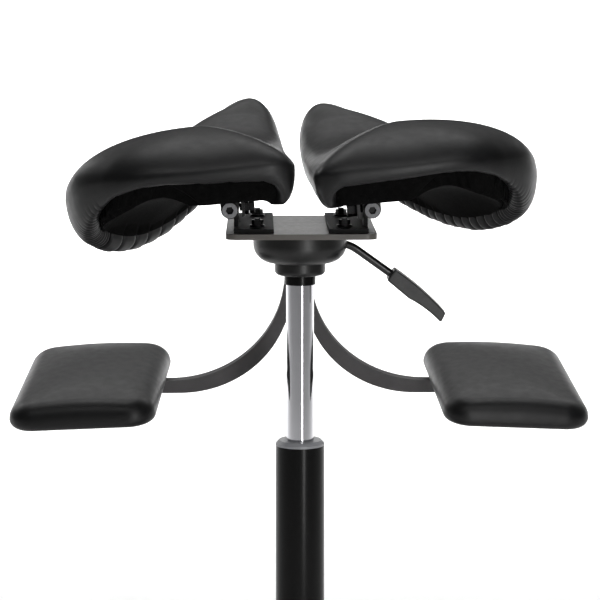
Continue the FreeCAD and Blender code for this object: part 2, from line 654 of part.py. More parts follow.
def hinge_base(side, name):
    half = FOOT_L / 2
    web_x0 = FOOT_OUT - WEB_T
    foot = box(FOOT_IN, FOOT_OUT, -half, half, PLATE_Z1, FOOT_Z1)
    web = box(web_x0, FOOT_OUT, -BARREL_L / 2, BARREL_L / 2, PLATE_Z1, PIVOT_Z)
    barrel = cross_bar(BARREL_R, -BARREL_L / 2, BARREL_L / 2, PIVOT_X, PIVOT_Z)
    base = fused([foot, web, barrel])
    base = base.cut(cross_bar(HINGE_BOLT_R + RUN_FIT, -half, half, PIVOT_X, PIVOT_Z))
    for y in (-FOOT_BOLT_Y, FOOT_BOLT_Y):
        base = base.cut(post(M6_R + RUN_FIT, PLATE_Z1 - PAST, FOOT_Z1 + PAST, FOOT_BOLT_X, y))
    save(f"hinge_base_{name}", mirrored(base, side))


def hinge_base_bolts():
    solids = []
    for x, y in foot_bolt_points():
        nut_z0 = FOOT_Z1 + M6_WASHER_T
        top = nut_z0 + M6_NUT_H + M6_STUB
        bolt = post(M6_HEAD_R, PLATE_Z0 - M6_HEAD_H, PLATE_Z0, x, y).fuse(post(M6_R, PLATE_Z0, top, x, y))
        hole = post(M6_R + FIT, FOOT_Z1 - PAST, top + PAST, x, y)
        washer = post(M6_WASHER_R, FOOT_Z1, nut_z0, x, y).cut(hole)
        nut = hex_prism(M6_NUT_AF, M6_NUT_H, V(x, y, nut_z0), V(0, 0, 1)).cut(hole)
        solids += [bolt, washer, nut]
    save("hinge_base_bolts", *solids)


def rolled(shape, side):
    """A level seat-half shape turned to its rest roll about its own hinge bolt."""
    shape.rotate(V(side * PIVOT_X, 0, PIVOT_Z), V(0, 1, 0), SEAT_ROLL)
    return shape


def seat_bracket(side, name):
    ear_in = BARREL_L / 2 + SIDE_GAP
    ear_out = ear_in + EAR_PLATE_T
    plate = box(BRACKET_IN, BRACKET_OUT, -ear_out, ear_out, BRACKET_Z0, BRACKET_Z1)
    solids = [plate]
    for y0, y1 in ((-ear_out, -ear_in), (ear_in, ear_out)):
        solids.append(box(PIVOT_X - EAR_PLATE_R, PIVOT_X + EAR_PLATE_R, y0, y1, PIVOT_Z, BRACKET_Z1))
        solids.append(cross_bar(EAR_PLATE_R, y0, y1, PIVOT_X, PIVOT_Z))
    leaf_x1 = PIVOT_X - BARREL_R - LEAF_GAP
    solids.append(box(leaf_x1 - LEAF_T, leaf_x1, -ear_in, ear_in, PIVOT_Z - LEAF_DROP, BRACKET_Z1))
    bracket = fused(solids)
    bracket = bracket.cut(cross_bar(HINGE_BOLT_R + FIT, -ear_out - PAST, ear_out + PAST, PIVOT_X, PIVOT_Z))
    leaf_x0 = leaf_x1 - LEAF_T
    bracket = bracket.cut(side_bar(CLAMP_R + FIT, leaf_x0 - PAST, leaf_x1 + PAST, CLAMP_Y, PIVOT_Z))
    for x, y in seat_screw_points():
        bracket = bracket.cut(post(SCREW_R + RUN_FIT, BRACKET_Z0 - PAST, BRACKET_Z1 + PAST, x, y))
    save(f"seat_bracket_{name}", rolled(mirrored(bracket, side), side))

    nut_x0 = leaf_x0 - CLAMP_NUT_H
    clamp = hex_prism(CLAMP_HEAD_AF, CLAMP_HEAD_H, V(nut_x0 - SEAT_GAP, CLAMP_Y, PIVOT_Z), V(-1, 0, 0))
    screw_end = PIVOT_X - BARREL_R - SEAT_GAP
    clamp = clamp.fuse(side_bar(CLAMP_R, nut_x0 - SEAT_GAP, screw_end, CLAMP_Y, PIVOT_Z))
    nut = hex_prism(CLAMP_HEAD_AF, CLAMP_NUT_H, V(nut_x0, CLAMP_Y, PIVOT_Z), V(1, 0, 0))
    nut = nut.cut(side_bar(CLAMP_R + FIT, nut_x0 - PAST, leaf_x0 + PAST, CLAMP_Y, PIVOT_Z))
    save(f"tilt_clamp_{name}", *[rolled(mirrored(shape, side), side) for shape in (clamp, nut)])

    washer_y0 = -ear_out - BOLT_WASHER_T
    nut_y0 = ear_out + BOLT_WASHER_T
    nut_y1 = nut_y0 + BOLT_NUT_H
    bolt = cross_bar(HINGE_BOLT_R, washer_y0, nut_y1 + BOLT_STUB, PIVOT_X, PIVOT_Z)
    bolt = bolt.fuse(cross_bar(BOLT_HEAD_R, washer_y0 - BOLT_HEAD_H, washer_y0, PIVOT_X, PIVOT_Z))
    recess = V(PIVOT_X, washer_y0 - BOLT_HEAD_H, PIVOT_Z)
    bolt = bolt.cut(hex_prism(BOLT_SOCKET_AF, BOLT_SOCKET_DEPTH, recess, V(0, 1, 0)))
    hole = cross_bar(HINGE_BOLT_R + FIT, washer_y0 - PAST, nut_y1 + PAST, PIVOT_X, PIVOT_Z)
    washers = []
    for y in (washer_y0, ear_out):
        washers.append(cross_bar(BOLT_WASHER_R, y, y + BOLT_WASHER_T, PIVOT_X, PIVOT_Z).cut(hole))
    nut = hex_prism(BOLT_NUT_AF, BOLT_NUT_H, V(PIVOT_X, nut_y0, PIVOT_Z), V(0, 1, 0)).cut(hole)
    save(f"hinge_bolt_{name}", *[rolled(mirrored(shape, side), side) for shape in [bolt] + washers + [nut]])


def seat_screw_points():
    return [(SCREW_OUT_X, y) for y in SCREW_OUT_Y] + [(SCREW_IN_X, y) for y in SCREW_IN_Y]


def cushion_section(station):
    """Closed cross-section of the cushion at one station: crown, rolled edges and hollow underside."""
    y, (in_x, in_z, in_low), (crown_x, crown_z), (out_x, out_z, out_low) = station
    in_w = min(INNER_ROLL_W, (crown_x - in_x) / 2)
    out_w = min(ROLL_W, (out_x - crown_x) / 2)
    base = PIVOT_Z
    inner, crown, outer = V(in_x, y, base + in_z), V(crown_x, y, base + crown_z), V(out_x, y, base + out_z)
    top_in = V(in_x + (crown_x - in_x) * (1 - QUARTER), y, base + in_z + (crown_z - in_z) * QUARTER)
    top_out = V(crown_x + (out_x - crown_x) * QUARTER, y, base + out_z + (crown_z - out_z) * QUARTER)
    low_out = V(out_x - out_w, y, base + out_low)
    roll_out = V(out_x - out_w * (1 - QUARTER), y, base + out_z - (out_z - out_low) * QUARTER)
    board = V(board_edge(station), y, base + in_low)
    hollow = (low_out + board) * 0.5 + V(0, 0, min(HOLLOW, (out_x - in_x) * HOLLOW_SHARE))
    low_in = V(in_x + in_w, y, base + in_low)
    roll_in = V(in_x + in_w * (1 - QUARTER), y, base + in_z - (in_z - in_low) * QUARTER)
    return Part.Wire([
        Part.Arc(inner, top_in, crown).toShape(), Part.Arc(crown, top_out, outer).toShape(),
        Part.Arc(outer, roll_out, low_out).toShape(), Part.Arc(low_out, hollow, board).toShape(),
        Part.makeLine(board, low_in), Part.Arc(low_in, roll_in, inner).toShape(),
    ])


def board_edge(station):
    """Where the flat board under the inner part of a seat half turns into the curved outer wing."""
    (in_x, _, _), (out_x, _, _) = station[1], station[3]
    return min(PIVOT_X + BOARD_OUT, in_x + (out_x - in_x) * BOARD_SHARE)


def pan_section(station, low, high, grow):
    """Cross-section of a layer of the pan between two heights over its underside."""
    y, (in_x, _, in_low), _, (out_x, _, out_low) = station
    flat = max(PAN_Z0, PIVOT_Z + in_low)
    bend = board_edge(station)
    width = out_x - in_x
    x0 = in_x + min(PAN_INNER, width * PAN_SHARE) - grow
    x1 = out_x - min(PAN_INSET, width * PAN_SHARE) + grow
    edge = PIVOT_Z + out_low + PAN_RISE
    sag = V(0, 0, min(HOLLOW, width * HOLLOW_SHARE))

    def arc_middle(height):
        return V((bend + x1) / 2, y, (flat + edge) / 2 + height) + sag

    a, b, c = V(x0, y, flat + low), V(bend, y, flat + low), V(x1, y, edge + low)
    d, e, f = V(x1, y, edge + high), V(bend, y, flat + high), V(x0, y, flat + high)
    return Part.Wire([
        Part.makeLine(a, b), Part.Arc(b, arc_middle(low), c).toShape(), Part.makeLine(c, d),
        Part.Arc(d, arc_middle(high), e).toShape(), Part.makeLine(e, f), Part.makeLine(f, a),
    ])


def pan_layer(low, high, grow=0.0):
    stations = list(PAN_STATIONS)
    if grow:
        first, last = stations[0], stations[-1]
        stations[0] = (first[0] - grow,) + first[1:]
        stations[-1] = (last[0] + grow,) + last[1:]
    return loft([pan_section(station, low, high, grow) for station in stations])


def seat_half(side, name):
    form = loft([cushion_section(station) for station in STATIONS])
    pocket = pan_layer(-POCKET_DROP, PAN_T + SEAT_GAP, SEAT_GAP)
    cushion = form.cut(pocket)
    pan = pan_layer(0.0, PAN_T)
    dust = pan_layer(-DUST_T - DUST_GAP, -DUST_GAP)
    screws = []
    for x, y in seat_screw_points():
        hole = post(SCREW_R + FIT, BRACKET_Z1, PAN_Z0 + SCREW_GRIP + FIT, x, y)
        pan = pan.cut(hole)
        dust = dust.cut(hole)
        head = post(SCREW_HEAD_R, BRACKET_Z0 - SCREW_HEAD_H, BRACKET_Z0, x, y)
        screws.append(head.fuse(post(SCREW_R, BRACKET_Z0, PAN_Z0 + SCREW_GRIP, x, y)))
    pieces = {"cushion": [cushion], "pan": [pan], "dust_cover": [dust], "screws": screws}
    for piece, shapes in pieces.items():
        save(f"seat_{piece}_{name}", *[rolled(mirrored(shape, side), side) for shape in shapes])


def on_arm_plane(x, down, depth=0.0):
    """Point of the arm's leaning plane: x across, down along the plane, depth towards the front."""
    tilt = math.radians(ARM_TILT)
    y = ARM_ROOT_Y + down * math.sin(tilt) + depth * math.cos(tilt)
    z = ARM_ROOT_Z - down * math.cos(tilt) + depth * math.sin(tilt)
    return V(x, y, z)


def hanger():
    """Bracket welded under the plate's front, with a leaning tab that both arms are bolted to."""
    tilt = math.radians(ARM_TILT)
    low_z = PLATE_Z0 - HANGER_T

    def face_y(z, depth):
        return ARM_ROOT_Y + (ARM_ROOT_Z - z) * math.tan(tilt) + depth / math.cos(tilt)

    rear, front = ARM_T, ARM_T + HANGER_T
    low_rear, low_front = on_arm_plane(0, HANGER_DOWN, rear), on_arm_plane(0, HANGER_DOWN, front)
    corners = [
        V(0, HANGER_BACK, PLATE_Z0), V(0, face_y(PLATE_Z0, front), PLATE_Z0), low_front, low_rear,
        V(0, face_y(low_z, rear), low_z), V(0, HANGER_BACK, low_z),
    ]
    face = Part.Face(Part.makePolygon(corners + corners[:1]))
    face.translate(V(-HANGER_W / 2, 0, 0))
    bracket = face.extrude(V(HANGER_W, 0, 0))
    for x, down in arm_bolt_points():
        bracket = bracket.cut(arm_bar(M6_R + RUN_FIT, x, down, -PAST, front + PAST))
    save("knee_hanger", bracket)


def arm_bolt_points():
    return [(sx * ARM_BOLT_X, down) for sx in (-1, 1) for down in ARM_BOLT_DOWN]


def arm_normal():
    return on_arm_plane(0, 0, 1) - on_arm_plane(0, 0, 0)


def arm_bar(radius, x, down, depth_0, depth_1):
    """Round bar square to the arm's plane."""
    return Part.makeCylinder(radius, depth_1 - depth_0, on_arm_plane(x, down, depth_0), arm_normal())


def arm_bolts():
    solids = []
    stack = ARM_T + HANGER_T
    for x, down in arm_bolt_points():
        shank = arm_bar(M6_R, x, down, 0, stack + M6_NUT_H + M6_STUB)
        bolt = arm_bar(M6_HEAD_R, x, down, -M6_HEAD_H, 0).fuse(shank)
        nut = hex_prism(M6_NUT_AF, M6_NUT_H, on_arm_plane(x, down, stack), arm_normal())
        solids += [bolt, nut.cut(arm_bar(M6_R + FIT, x, down, stack - PAST, stack + M6_NUT_H + PAST))]
    save("knee_arm_bolts", *solids)


def in_pad_frame(shape, side):
    """Move a shape drawn about the pad's middle, lying flat, to the pad's place and slopes."""
    origin = V(0, 0, 0)
    shape.rotate(origin, V(1, 0, 0), PAD_PITCH)
    shape.rotate(origin, V(0, 1, 0), side * PAD_ROLL)
    shape.rotate(origin, V(0, 0, 1), side * PAD_TOE)
    shape.translate(V(side * PAD_X, PAD_Y, PAD_Z))
    return shape


def knee_arm(side, name):
    bend_x = STEM_OUT + ARM_BEND_R
    outer_low = ARM_LOW + ARM_W
    outer_x = bend_x - (ARM_BEND_R - ARM_OUTER_R) - ARM_W / 2
    centre_down = outer_low - ARM_OUTER_R
    meet = math.radians(ARM_MEET_ANGLE)
    half = math.radians(45 + ARM_MEET_ANGLE / 2)

    def point(x, down):
        return on_arm_plane(side * x, down)

    def outer(angle):
        return point(outer_x - ARM_OUTER_R * math.cos(angle), centre_down + ARM_OUTER_R * math.sin(angle))

    inner_mid = point(bend_x - ARM_BEND_R * QUARTER, ARM_BEND_DOWN + ARM_BEND_R * QUARTER)
    a, b = point(STEM_OUT, 0), point(STEM_OUT, ARM_BEND_DOWN)
    c, d = point(bend_x, ARM_LOW), point(ARM_TIP_X, ARM_LOW)
    e, f = point(ARM_TIP_X, outer_low), point(outer_x, outer_low)
    g, h, k = outer(meet), point(STEM_IN, ARM_ROOT_DOWN), point(STEM_IN, 0)
    edges = [Part.makeLine(a, b), Part.Arc(b, inner_mid, c).toShape(), Part.makeLine(c, d)]
    edges += [Part.makeLine(d, e), Part.makeLine(e, f), Part.Arc(f, outer(half), g).toShape()]
    edges += [Part.makeLine(g, h), Part.makeLine(h, k), Part.makeLine(k, a)]
    bar = Part.Face(Part.Wire(edges)).extrude(arm_normal() * ARM_T)

    under = -PAD_EDGE_T / 2
    tab = in_pad_frame(box(-TAB_W / 2, TAB_W / 2, TAB_BACK, TAB_FRONT, under - TAB_T, under), side)
    room = in_pad_frame(box(-PAD_W / 2, PAD_W / 2, -PAD_L / 2, PAD_L / 2, under, under + PAD_L), side)
    arm = fused([bar, tab]).cut(room)
    for down in ARM_BOLT_DOWN:
        arm = arm.cut(arm_bar(M6_R + RUN_FIT, side * ARM_BOLT_X, down, -PAST, ARM_T + PAST))
    for x, y in tab_screw_points():
        arm = arm.cut(in_pad_frame(post(SCREW_R + RUN_FIT, under - TAB_T - PAST, under + PAST, x, y), side))
    save(f"knee_arm_{name}", arm)


def tab_screw_points():
    return [(sx * TAB_SCREW_X, y) for sx in (-1, 1) for y in TAB_SCREW_Y]


def knee_pad(side, name):
    half_t = PAD_EDGE_T / 2
    slab = box(-PAD_W / 2, PAD_W / 2, -PAD_L / 2, PAD_L / 2, -half_t, half_t + PAD_CROWN)
    upright = [e for e in slab.Edges if abs(e.Vertexes[0].Z - e.Vertexes[1].Z) > half_t]
    slab = slab.makeFillet(PAD_CORNER, upright)
    reach = math.hypot(PAD_W / 2, PAD_L / 2) - PAD_CORNER / 2
    crown_r = (reach ** 2 + PAD_CROWN ** 2) / (2 * PAD_CROWN)
    slab = slab.common(Part.makeSphere(crown_r, V(0, 0, half_t + PAD_CROWN - crown_r)))
    slab = slab.makeFillet(PAD_ROUND, [e for e in slab.Edges if e.BoundBox.ZMin > 0])
    slab = slab.makeFillet(PAD_LOW_ROUND, [e for e in slab.Edges if e.BoundBox.ZMax < PAST - half_t])
    board_w, board_l = PAD_W - 2 * KNEE_BOARD_EDGE, PAD_L - 2 * KNEE_BOARD_EDGE
    board = box(-board_w / 2, board_w / 2, -board_l / 2, board_l / 2, -half_t, -half_t + KNEE_BOARD_T)
    grow = SEAT_GAP
    pocket = box(-board_w / 2 - grow, board_w / 2 + grow, -board_l / 2 - grow, board_l / 2 + grow,
                 -half_t - PAST, -half_t + KNEE_BOARD_T + grow)
    pad = slab.cut(pocket)
    screws = []
    for x, y in tab_screw_points():
        grip = -half_t + KNEE_BOARD_T - KNEE_SCREW_SPARE
        board = board.cut(post(SCREW_R + FIT, -half_t - PAST, grip + FIT, x, y))
        head_z1 = -half_t - TAB_T
        head = post(SCREW_HEAD_R, head_z1 - SCREW_HEAD_H, head_z1, x, y)
        screws.append(in_pad_frame(head.fuse(post(SCREW_R, head_z1, grip, x, y)), side))
    save(f"knee_pad_{name}", in_pad_frame(pad, side))
    save(f"knee_board_{name}", in_pad_frame(board, side))
    return screws


os.makedirs("parts", exist_ok=True)
base_star()
for leg in range(LEGS):
    caster(leg)
gas_lift()
seat_plate_and_cover()
height_lever()
hinge_base_bolts()
hanger()
arm_bolts()
pad_screws = []
for side_sign, side_name in ((1, "right"), (-1, "left")):
    hinge_base(side_sign, side_name)
    seat_bracket(side_sign, side_name)
    seat_half(side_sign, side_name)
    knee_arm(side_sign, side_name)
    pad_screws += knee_pad(side_sign, side_name)
save("knee_pad_screws", *pad_screws)
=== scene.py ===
# %% [markdown]
# # A split-seat saddle stool
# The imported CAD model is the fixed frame. This lesson dresses it: leather, paint, chrome and plastic on
# the hard pieces, and new soft pieces for the two seat halves and the two knee pads.

# %% Load the frame
import json
import math

import bpy
import numpy as np
from mathutils import Matrix, Vector
from mathutils.bvhtree import BVHTree


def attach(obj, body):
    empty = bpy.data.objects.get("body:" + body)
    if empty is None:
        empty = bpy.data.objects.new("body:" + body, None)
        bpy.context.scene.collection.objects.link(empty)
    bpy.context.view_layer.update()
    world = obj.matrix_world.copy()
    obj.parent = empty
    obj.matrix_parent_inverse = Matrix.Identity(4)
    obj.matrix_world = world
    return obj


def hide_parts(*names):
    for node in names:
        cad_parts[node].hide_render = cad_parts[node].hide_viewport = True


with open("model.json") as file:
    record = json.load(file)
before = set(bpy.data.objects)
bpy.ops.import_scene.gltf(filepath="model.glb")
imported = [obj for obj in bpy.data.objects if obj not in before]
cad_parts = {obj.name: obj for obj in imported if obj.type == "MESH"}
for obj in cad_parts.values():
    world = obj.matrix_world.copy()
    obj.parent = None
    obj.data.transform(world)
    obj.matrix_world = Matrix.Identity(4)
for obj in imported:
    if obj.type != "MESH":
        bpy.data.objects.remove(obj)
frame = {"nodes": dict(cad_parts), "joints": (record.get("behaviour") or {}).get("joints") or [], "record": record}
nodes = frame["nodes"]
joints = {joint["name"]: joint for joint in frame["joints"]}
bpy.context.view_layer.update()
MM = 0.001

# %% [markdown]
# ## Helpers for finishes
# A finish is a small tree of shader nodes. It could be drawn by hand in the shader editor; in a script
# one function that adds a node, sets its values and links it keeps each finish to a few readable lines.


# %% Colour and node helpers
def linear(hex_colour):
    """An sRGB hex colour as the linear RGBA that shaders work in."""
    channels = [int(hex_colour[i:i + 2], 16) / 255 for i in (1, 3, 5)]
    bright = [c / 12.92 if c <= 0.04045 else ((c + 0.055) / 1.055) ** 2.4 for c in channels]
    return (*bright, 1.0)


def add(material, kind, settings=(), links=()):
    """Add a shader node, set its properties, sockets or ramp colours, and link its inputs."""
    tree = material.node_tree
    node = tree.nodes.new("ShaderNode" + kind)
    for key, value in dict(settings).items():
        if key == "ramp":
            for element, (place, colour) in zip(node.color_ramp.elements, value):
                element.position, element.color = place, linear(colour)
        elif key in node.inputs:
            node.inputs[key].default_value = value
        else:
            setattr(node, key, value)
    for socket, source in dict(links).items():
        tree.links.new(source, node.inputs[socket])
    return node


def new_finish(name, values):
    """A material whose plain shader values are set on the shader's own sockets."""
    material = bpy.data.materials.new(name)
    material.use_nodes = True
    shader = material.node_tree.nodes["Principled BSDF"]
    for socket, value in values.items():
        shader.inputs[socket].default_value = value
    return material, shader


def feed(material, shader, sources):
    """Link node outputs to the shader's sockets."""
    for socket, source in sources.items():
        material.node_tree.links.new(source, shader.inputs[socket])


def per_mm(size):
    """Texture scale, in metres, of a pattern whose features are this many millimetres apart."""
    return 1 / (size * MM)


def mottled(name, colours, patch_mm, rough, grain_mm, bump_mm, values=(), stretch=(1, 1, 1), strength=0.5):
    """A finish with slow colour drift, uneven gloss and a fine surface grain."""
    material, shader = new_finish(name, dict(values))
    place = add(material, "TexCoord")
    drawn = add(material, "Mapping", {"Scale": stretch}, {"Vector": place.outputs["Object"]})
    where = {"Vector": drawn.outputs["Vector"]}
    drift = add(material, "TexNoise", {"Scale": per_mm(patch_mm), "Detail": 4.0}, where)
    tint = add(material, "ValToRGB", {"ramp": ((0.3, colours[0]), (0.7, colours[1]))},
               {"Fac": drift.outputs["Fac"]})
    fine = add(material, "TexNoise", {"Scale": per_mm(grain_mm), "Detail": 3.0}, where)
    gloss = add(material, "MapRange",
                {"From Min": 0.3, "From Max": 0.7, "To Min": rough[0], "To Max": rough[1]},
                {"Value": fine.outputs["Fac"]})
    relief = add(material, "Bump", {"Strength": strength, "Distance": bump_mm * MM},
                 {"Height": fine.outputs["Fac"]})
    feed(material, shader, {"Base Color": tint.outputs["Color"], "Roughness": gloss.outputs["Result"],
                            "Normal": relief.outputs["Normal"]})
    return material


# %% [markdown]
# ## Leather
# The seat and the knee pads are covered in coated black leather: an embossed pebble grain about a
# millimetre across, satin, a little greyer where the light rakes over it. A photo texture would do, but
# cells from a Voronoi pattern scale with the object, and need no unwrapping.


# %% Leather and dust cloth
def coated_leather():
    """Black leather under a pebbled satin coat, with painted shade in its creases, where its shine is turned down.
    """
    material, shader = new_finish("coated_leather", {"Sheen Weight": 0.04, "Sheen Roughness": 0.4})
    where = {"Vector": add(material, "TexCoord").outputs["Object"]}
    drift = add(material, "TexNoise", {"Scale": per_mm(70), "Detail": 3.0}, where)
    tint = add(material, "ValToRGB", {"ramp": ((0.3, "#0a0a0b"), (0.7, "#101011"))},
               {"Fac": drift.outputs["Fac"]})
    # pebbles of 1 mm are as fine as the picture can show
    pebbles = add(material, "TexVoronoi",
                  {"Scale": per_mm(1.1), "feature": "SMOOTH_F1", "Smoothness": 0.6}, where)
    handled = add(material, "TexNoise", {"Scale": per_mm(9), "Detail": 4.0}, where)
    gloss = add(material, "MapRange",
                {"From Min": 0.25, "From Max": 0.75, "To Min": 0.38, "To Max": 0.48},
                {"Value": handled.outputs["Fac"]})
    grain = add(material, "Bump", {"Strength": 0.25, "Distance": 0.12 * MM},
                {"Height": pebbles.outputs["Distance"]})
    # painted shade: light hardly gets into the creases of a pleat, so their shine is turned down with the crease's
    # depth
    fold = add(material, "Attribute", {"attribute_name": "fold"})
    shine = add(material, "MapRange", {"From Max": 0.8, "To Min": 0.36, "To Max": 0.0},
                {"Value": fold.outputs["Fac"]})
    feed(material, shader, {"Base Color": tint.outputs["Color"], "Roughness": gloss.outputs["Result"],
                            "Normal": grain.outputs["Normal"],
                            "Specular IOR Level": shine.outputs["Result"]})
    return material


LEATHER = coated_leather()
# Spun-bonded cloth: matt, almost black, a fibrous tooth that catches no highlight.
DUST_CLOTH = mottled("nonwoven_dust_cloth", ("#060606", "#0c0c0c"), 6, (0.85, 0.98), 1.2, 0.3,
                     {"Specular IOR Level": 0.05}, strength=0.8)
print("soft finishes:", LEATHER.name, DUST_CLOTH.name)

# %% [markdown]
# ## Hard finishes
# Each hard finish starts from what the real piece is: powder coat has a fine orange peel, nylon a moulded
# sparkle, zinc a dull patchy shine, chrome almost none of either. They share one pattern of slow drift
# and fine grain.

# %% Metals, paints and plastics
# Each row: name, two colours, size of the colour patches, roughness from and to, grain size and depth;
# sizes in mm.

# Sprayed and baked: an even dark grey, matt, with a fine orange peel.
POWDER_COAT = mottled("grey_powder_coat", ("#474546", "#504e4f"), 30, (0.5, 0.64), 1.0, 0.08)
# Dipped enamel: black with a soft sheen and a slightly uneven gloss.
BLACK_ENAMEL = mottled("black_enamel", ("#0c0b0b", "#131212"), 40, (0.26, 0.38), 1.4, 0.05,
                       {"Coat Weight": 0.2})
# The plate was rolled before it was coated, so bands run along it through the thin paint.
ROLLED_PLATE = mottled("enamelled_rolled_plate", ("#4c4945", "#6b6762"), 25, (0.3, 0.5), 1.2, 0.06,
                       stretch=(0.2, 1, 1))
# Drawn tube under satin paint: nearly black, with one soft streak of light down it.
SATIN_TUBE = mottled("satin_black_tube", ("#040404", "#070707"), 30, (0.2, 0.28), 1.0, 0.02,
                     {"Specular IOR Level": 0.18})
# Hard chrome on a ground rod: mirror bright, only a breath of grinding haze.
CHROME = mottled("chrome_plate", ("#d8d8db", "#e4e4e8"), 60, (0.06, 0.11), 3.0, 0.01, {"Metallic": 1.0})
# Electroplated zinc: bright but clouded, like a used bolt.
ZINC = mottled("zinc_plate", ("#8e9092", "#b2b3b4"), 8, (0.25, 0.42), 1.5, 0.03, {"Metallic": 1.0})
# Blackened in hot salts: dark metal with an oily glint on the corners.
BLACK_OXIDE = mottled("black_oxide_steel", ("#0e0e0f", "#1a1a1b"), 6, (0.3, 0.45), 1.0, 0.04,
                      {"Metallic": 0.6})
# Ground lengthwise: fine lines that stretch the highlight.
GROUND_STEEL = mottled("ground_steel", ("#9b9c9e", "#b4b5b7"), 20, (0.18, 0.3), 1.0, 0.02, {"Metallic": 1.0},
                       stretch=(1, 1, 0.1))
# Glass-filled nylon out of an etched mould: charcoal, faintly speckled.
NYLON = mottled("moulded_nylon", ("#131314", "#1b1b1c"), 20, (0.42, 0.58), 0.9, 0.08)
# Polished mould: smooth black plastic with broad soft reflections.
COVER_ABS = mottled("moulded_abs", ("#090909", "#0f0f0e"), 40, (0.34, 0.44), 1.0, 0.04)
# Pebbled grip: a coarser grain that breaks the highlight up.
PADDLE_PLASTIC = mottled("pebbled_polypropylene", ("#2c2c2c", "#393938"), 12, (0.4, 0.6), 1.6, 0.2)
# Turned acetal: pale grey and waxy.
ACETAL = mottled("grey_acetal", ("#86878a", "#95969a"), 20, (0.3, 0.42), 1.0, 0.02)
# Cast tread: dark and slightly dusty.
WHEEL_PLASTIC = mottled("polyurethane_wheel", ("#161617", "#1f1f20"), 15, (0.35, 0.5), 1.0, 0.04)
# Moulded rubber: dull black, no highlight.
RUBBER = mottled("buffer_rubber", ("#121212", "#191919"), 10, (0.7, 0.85), 1.0, 0.05)
# Sawn birch under black stain: long faint grain, dark where its edge shows past the cloth.
PLYWOOD = mottled("black_stained_plywood", ("#0b0a09", "#151311"), 14, (0.6, 0.8), 1.5, 0.1,
                  stretch=(1, 0.12, 1))
# Sand-cast and brush-painted: flat black that hardly shines.
CAST_PAINT = mottled("matt_black_casting", ("#0a0a0a", "#121212"), 12, (0.55, 0.7), 1.0, 0.1,
                     {"Specular IOR Level": 0.25})

FINISHES = {
    "arm_paint": POWDER_COAT, "black_enamel": BLACK_ENAMEL, "chrome": CHROME, "zinc": ZINC,
    "black_oxide": BLACK_OXIDE, "steel": GROUND_STEEL, "black_nylon": NYLON, "grey_bush": ACETAL,
    "wheel_plastic": WHEEL_PLASTIC, "rubber": RUBBER, "plywood": PLYWOOD, "leather": LEATHER,
    "dust_cloth": DUST_CLOTH,
}
OWN_FINISH = {
    "seat_plate": ROLLED_PLATE, "outer_tube": SATIN_TUBE, "mechanism_cover": COVER_ABS,
    "lever_paddle": PADDLE_PLASTIC, "taper_socket": SATIN_TUBE, "hinge_base_left": CAST_PAINT,
    "hinge_base_right": CAST_PAINT,
}
for part in frame["record"]["subparts"]:
    finish = OWN_FINISH.get(part["node"], FINISHES[part["material_slot"]])
    nodes[part["node"]].data.materials.clear()
    nodes[part["node"]].data.materials.append(finish)
# The upright ears of the seat brackets are painted black; the plate above them is bare zinc. A face looks
# along an axis where this much of its normal does.
EAR_FROM, LOOKS_ALONG = 54 * MM, 0.9
for name in ("seat_bracket_left", "seat_bracket_right"):
    mesh = nodes[name].data
    mesh.materials.append(BLACK_ENAMEL)
    for polygon in mesh.polygons:
        upright = abs(polygon.normal.z) < LOOKS_ALONG
        polygon.material_index = int(abs(polygon.center.y) > EAR_FROM and upright)
# The hinge bolts are blackened, with their heads' ends ground bright.
for name in ("hinge_bolt_left", "hinge_bolt_right"):
    mesh = nodes[name].data
    mesh.materials[0] = BLACK_OXIDE
    mesh.materials.append(CHROME)
    end = min(point.co.y for point in mesh.vertices)
    for polygon in mesh.polygons:
        flat = abs(polygon.normal.y) > LOOKS_ALONG
        polygon.material_index = int(polygon.center.y < end + MM and flat)
print("finishes on", len(nodes), "nodes")

# %% [markdown]
# ## The seat half's outline
# Each half is a leather skin over foam: a smooth saddle top, a rolled rim, and leather that turns under
# the rim to an opening closed by black dust cloth. Its widest line, seen from above, is one closed curve,
# so the whole half can be built from that curve: a patch over the top, rings of points down round the
# rim. A sculpted mesh would look as good, but a curve with named sizes stays close to the CAD half.

# %% Sizes of the seat half
# Millimetres, drawn level on the sitter's right: x from the stool's middle, y to the front, heights over
# the hinge bolt. Each row: x, y, widest height, lowest height of the rim, rim width, width and rise of
# the turned-in edge.
OUTLINE = np.array((
    (45, 189.5, 69, 58, 8, 8, 4), (62, 185, 68, 57, 10, 9, 5), (84, 172, 59, 42, 14, 11, 6),
    (102, 145, 45, 17, 18, 13, 9), (126, 105, 21, -7, 20, 15, 12), (164, 55, -1, -29, 20, 17, 14),
    (200, 0, -2, -35, 20, 17, 14), (230, -60, 20, -20, 20, 14, 13), (222, -110, 36, 0, 16, 10, 8),
    (192, -148, 45, 27, 7, 4, 4), (166, -166, 47, 37, 7, 4, 3), (138, -174, 48, 40, 7, 4, 3),
    (92, -177, 48, 38, 7, 4, 3), (48, -176, 48, 36, 7, 4, 3), (28, -174, 48, 33, 7, 4, 3),
    (14, -167, 48, 17, 12, 10, 1.5), (9, -154, 46, 15, 14, 12, 1), (8.5, -140, 45, 13.5, 14, 11, 1),
    (9, -110, 44, 13, 13, 8, 1.5), (9, -60, 44, 13, 13, 8, 1.5), (10, 0, 44, 13, 13, 8, 1.5),
    (10, 55, 46, 13, 13, 8, 1.5), (10, 105, 50, 14, 13, 8, 1.5), (12, 145, 57, 20, 12, 8, 2),
    (19, 172, 64, 36, 11, 8, 3), (30, 186, 70, 59, 8, 8, 4),
)[::-1], float)
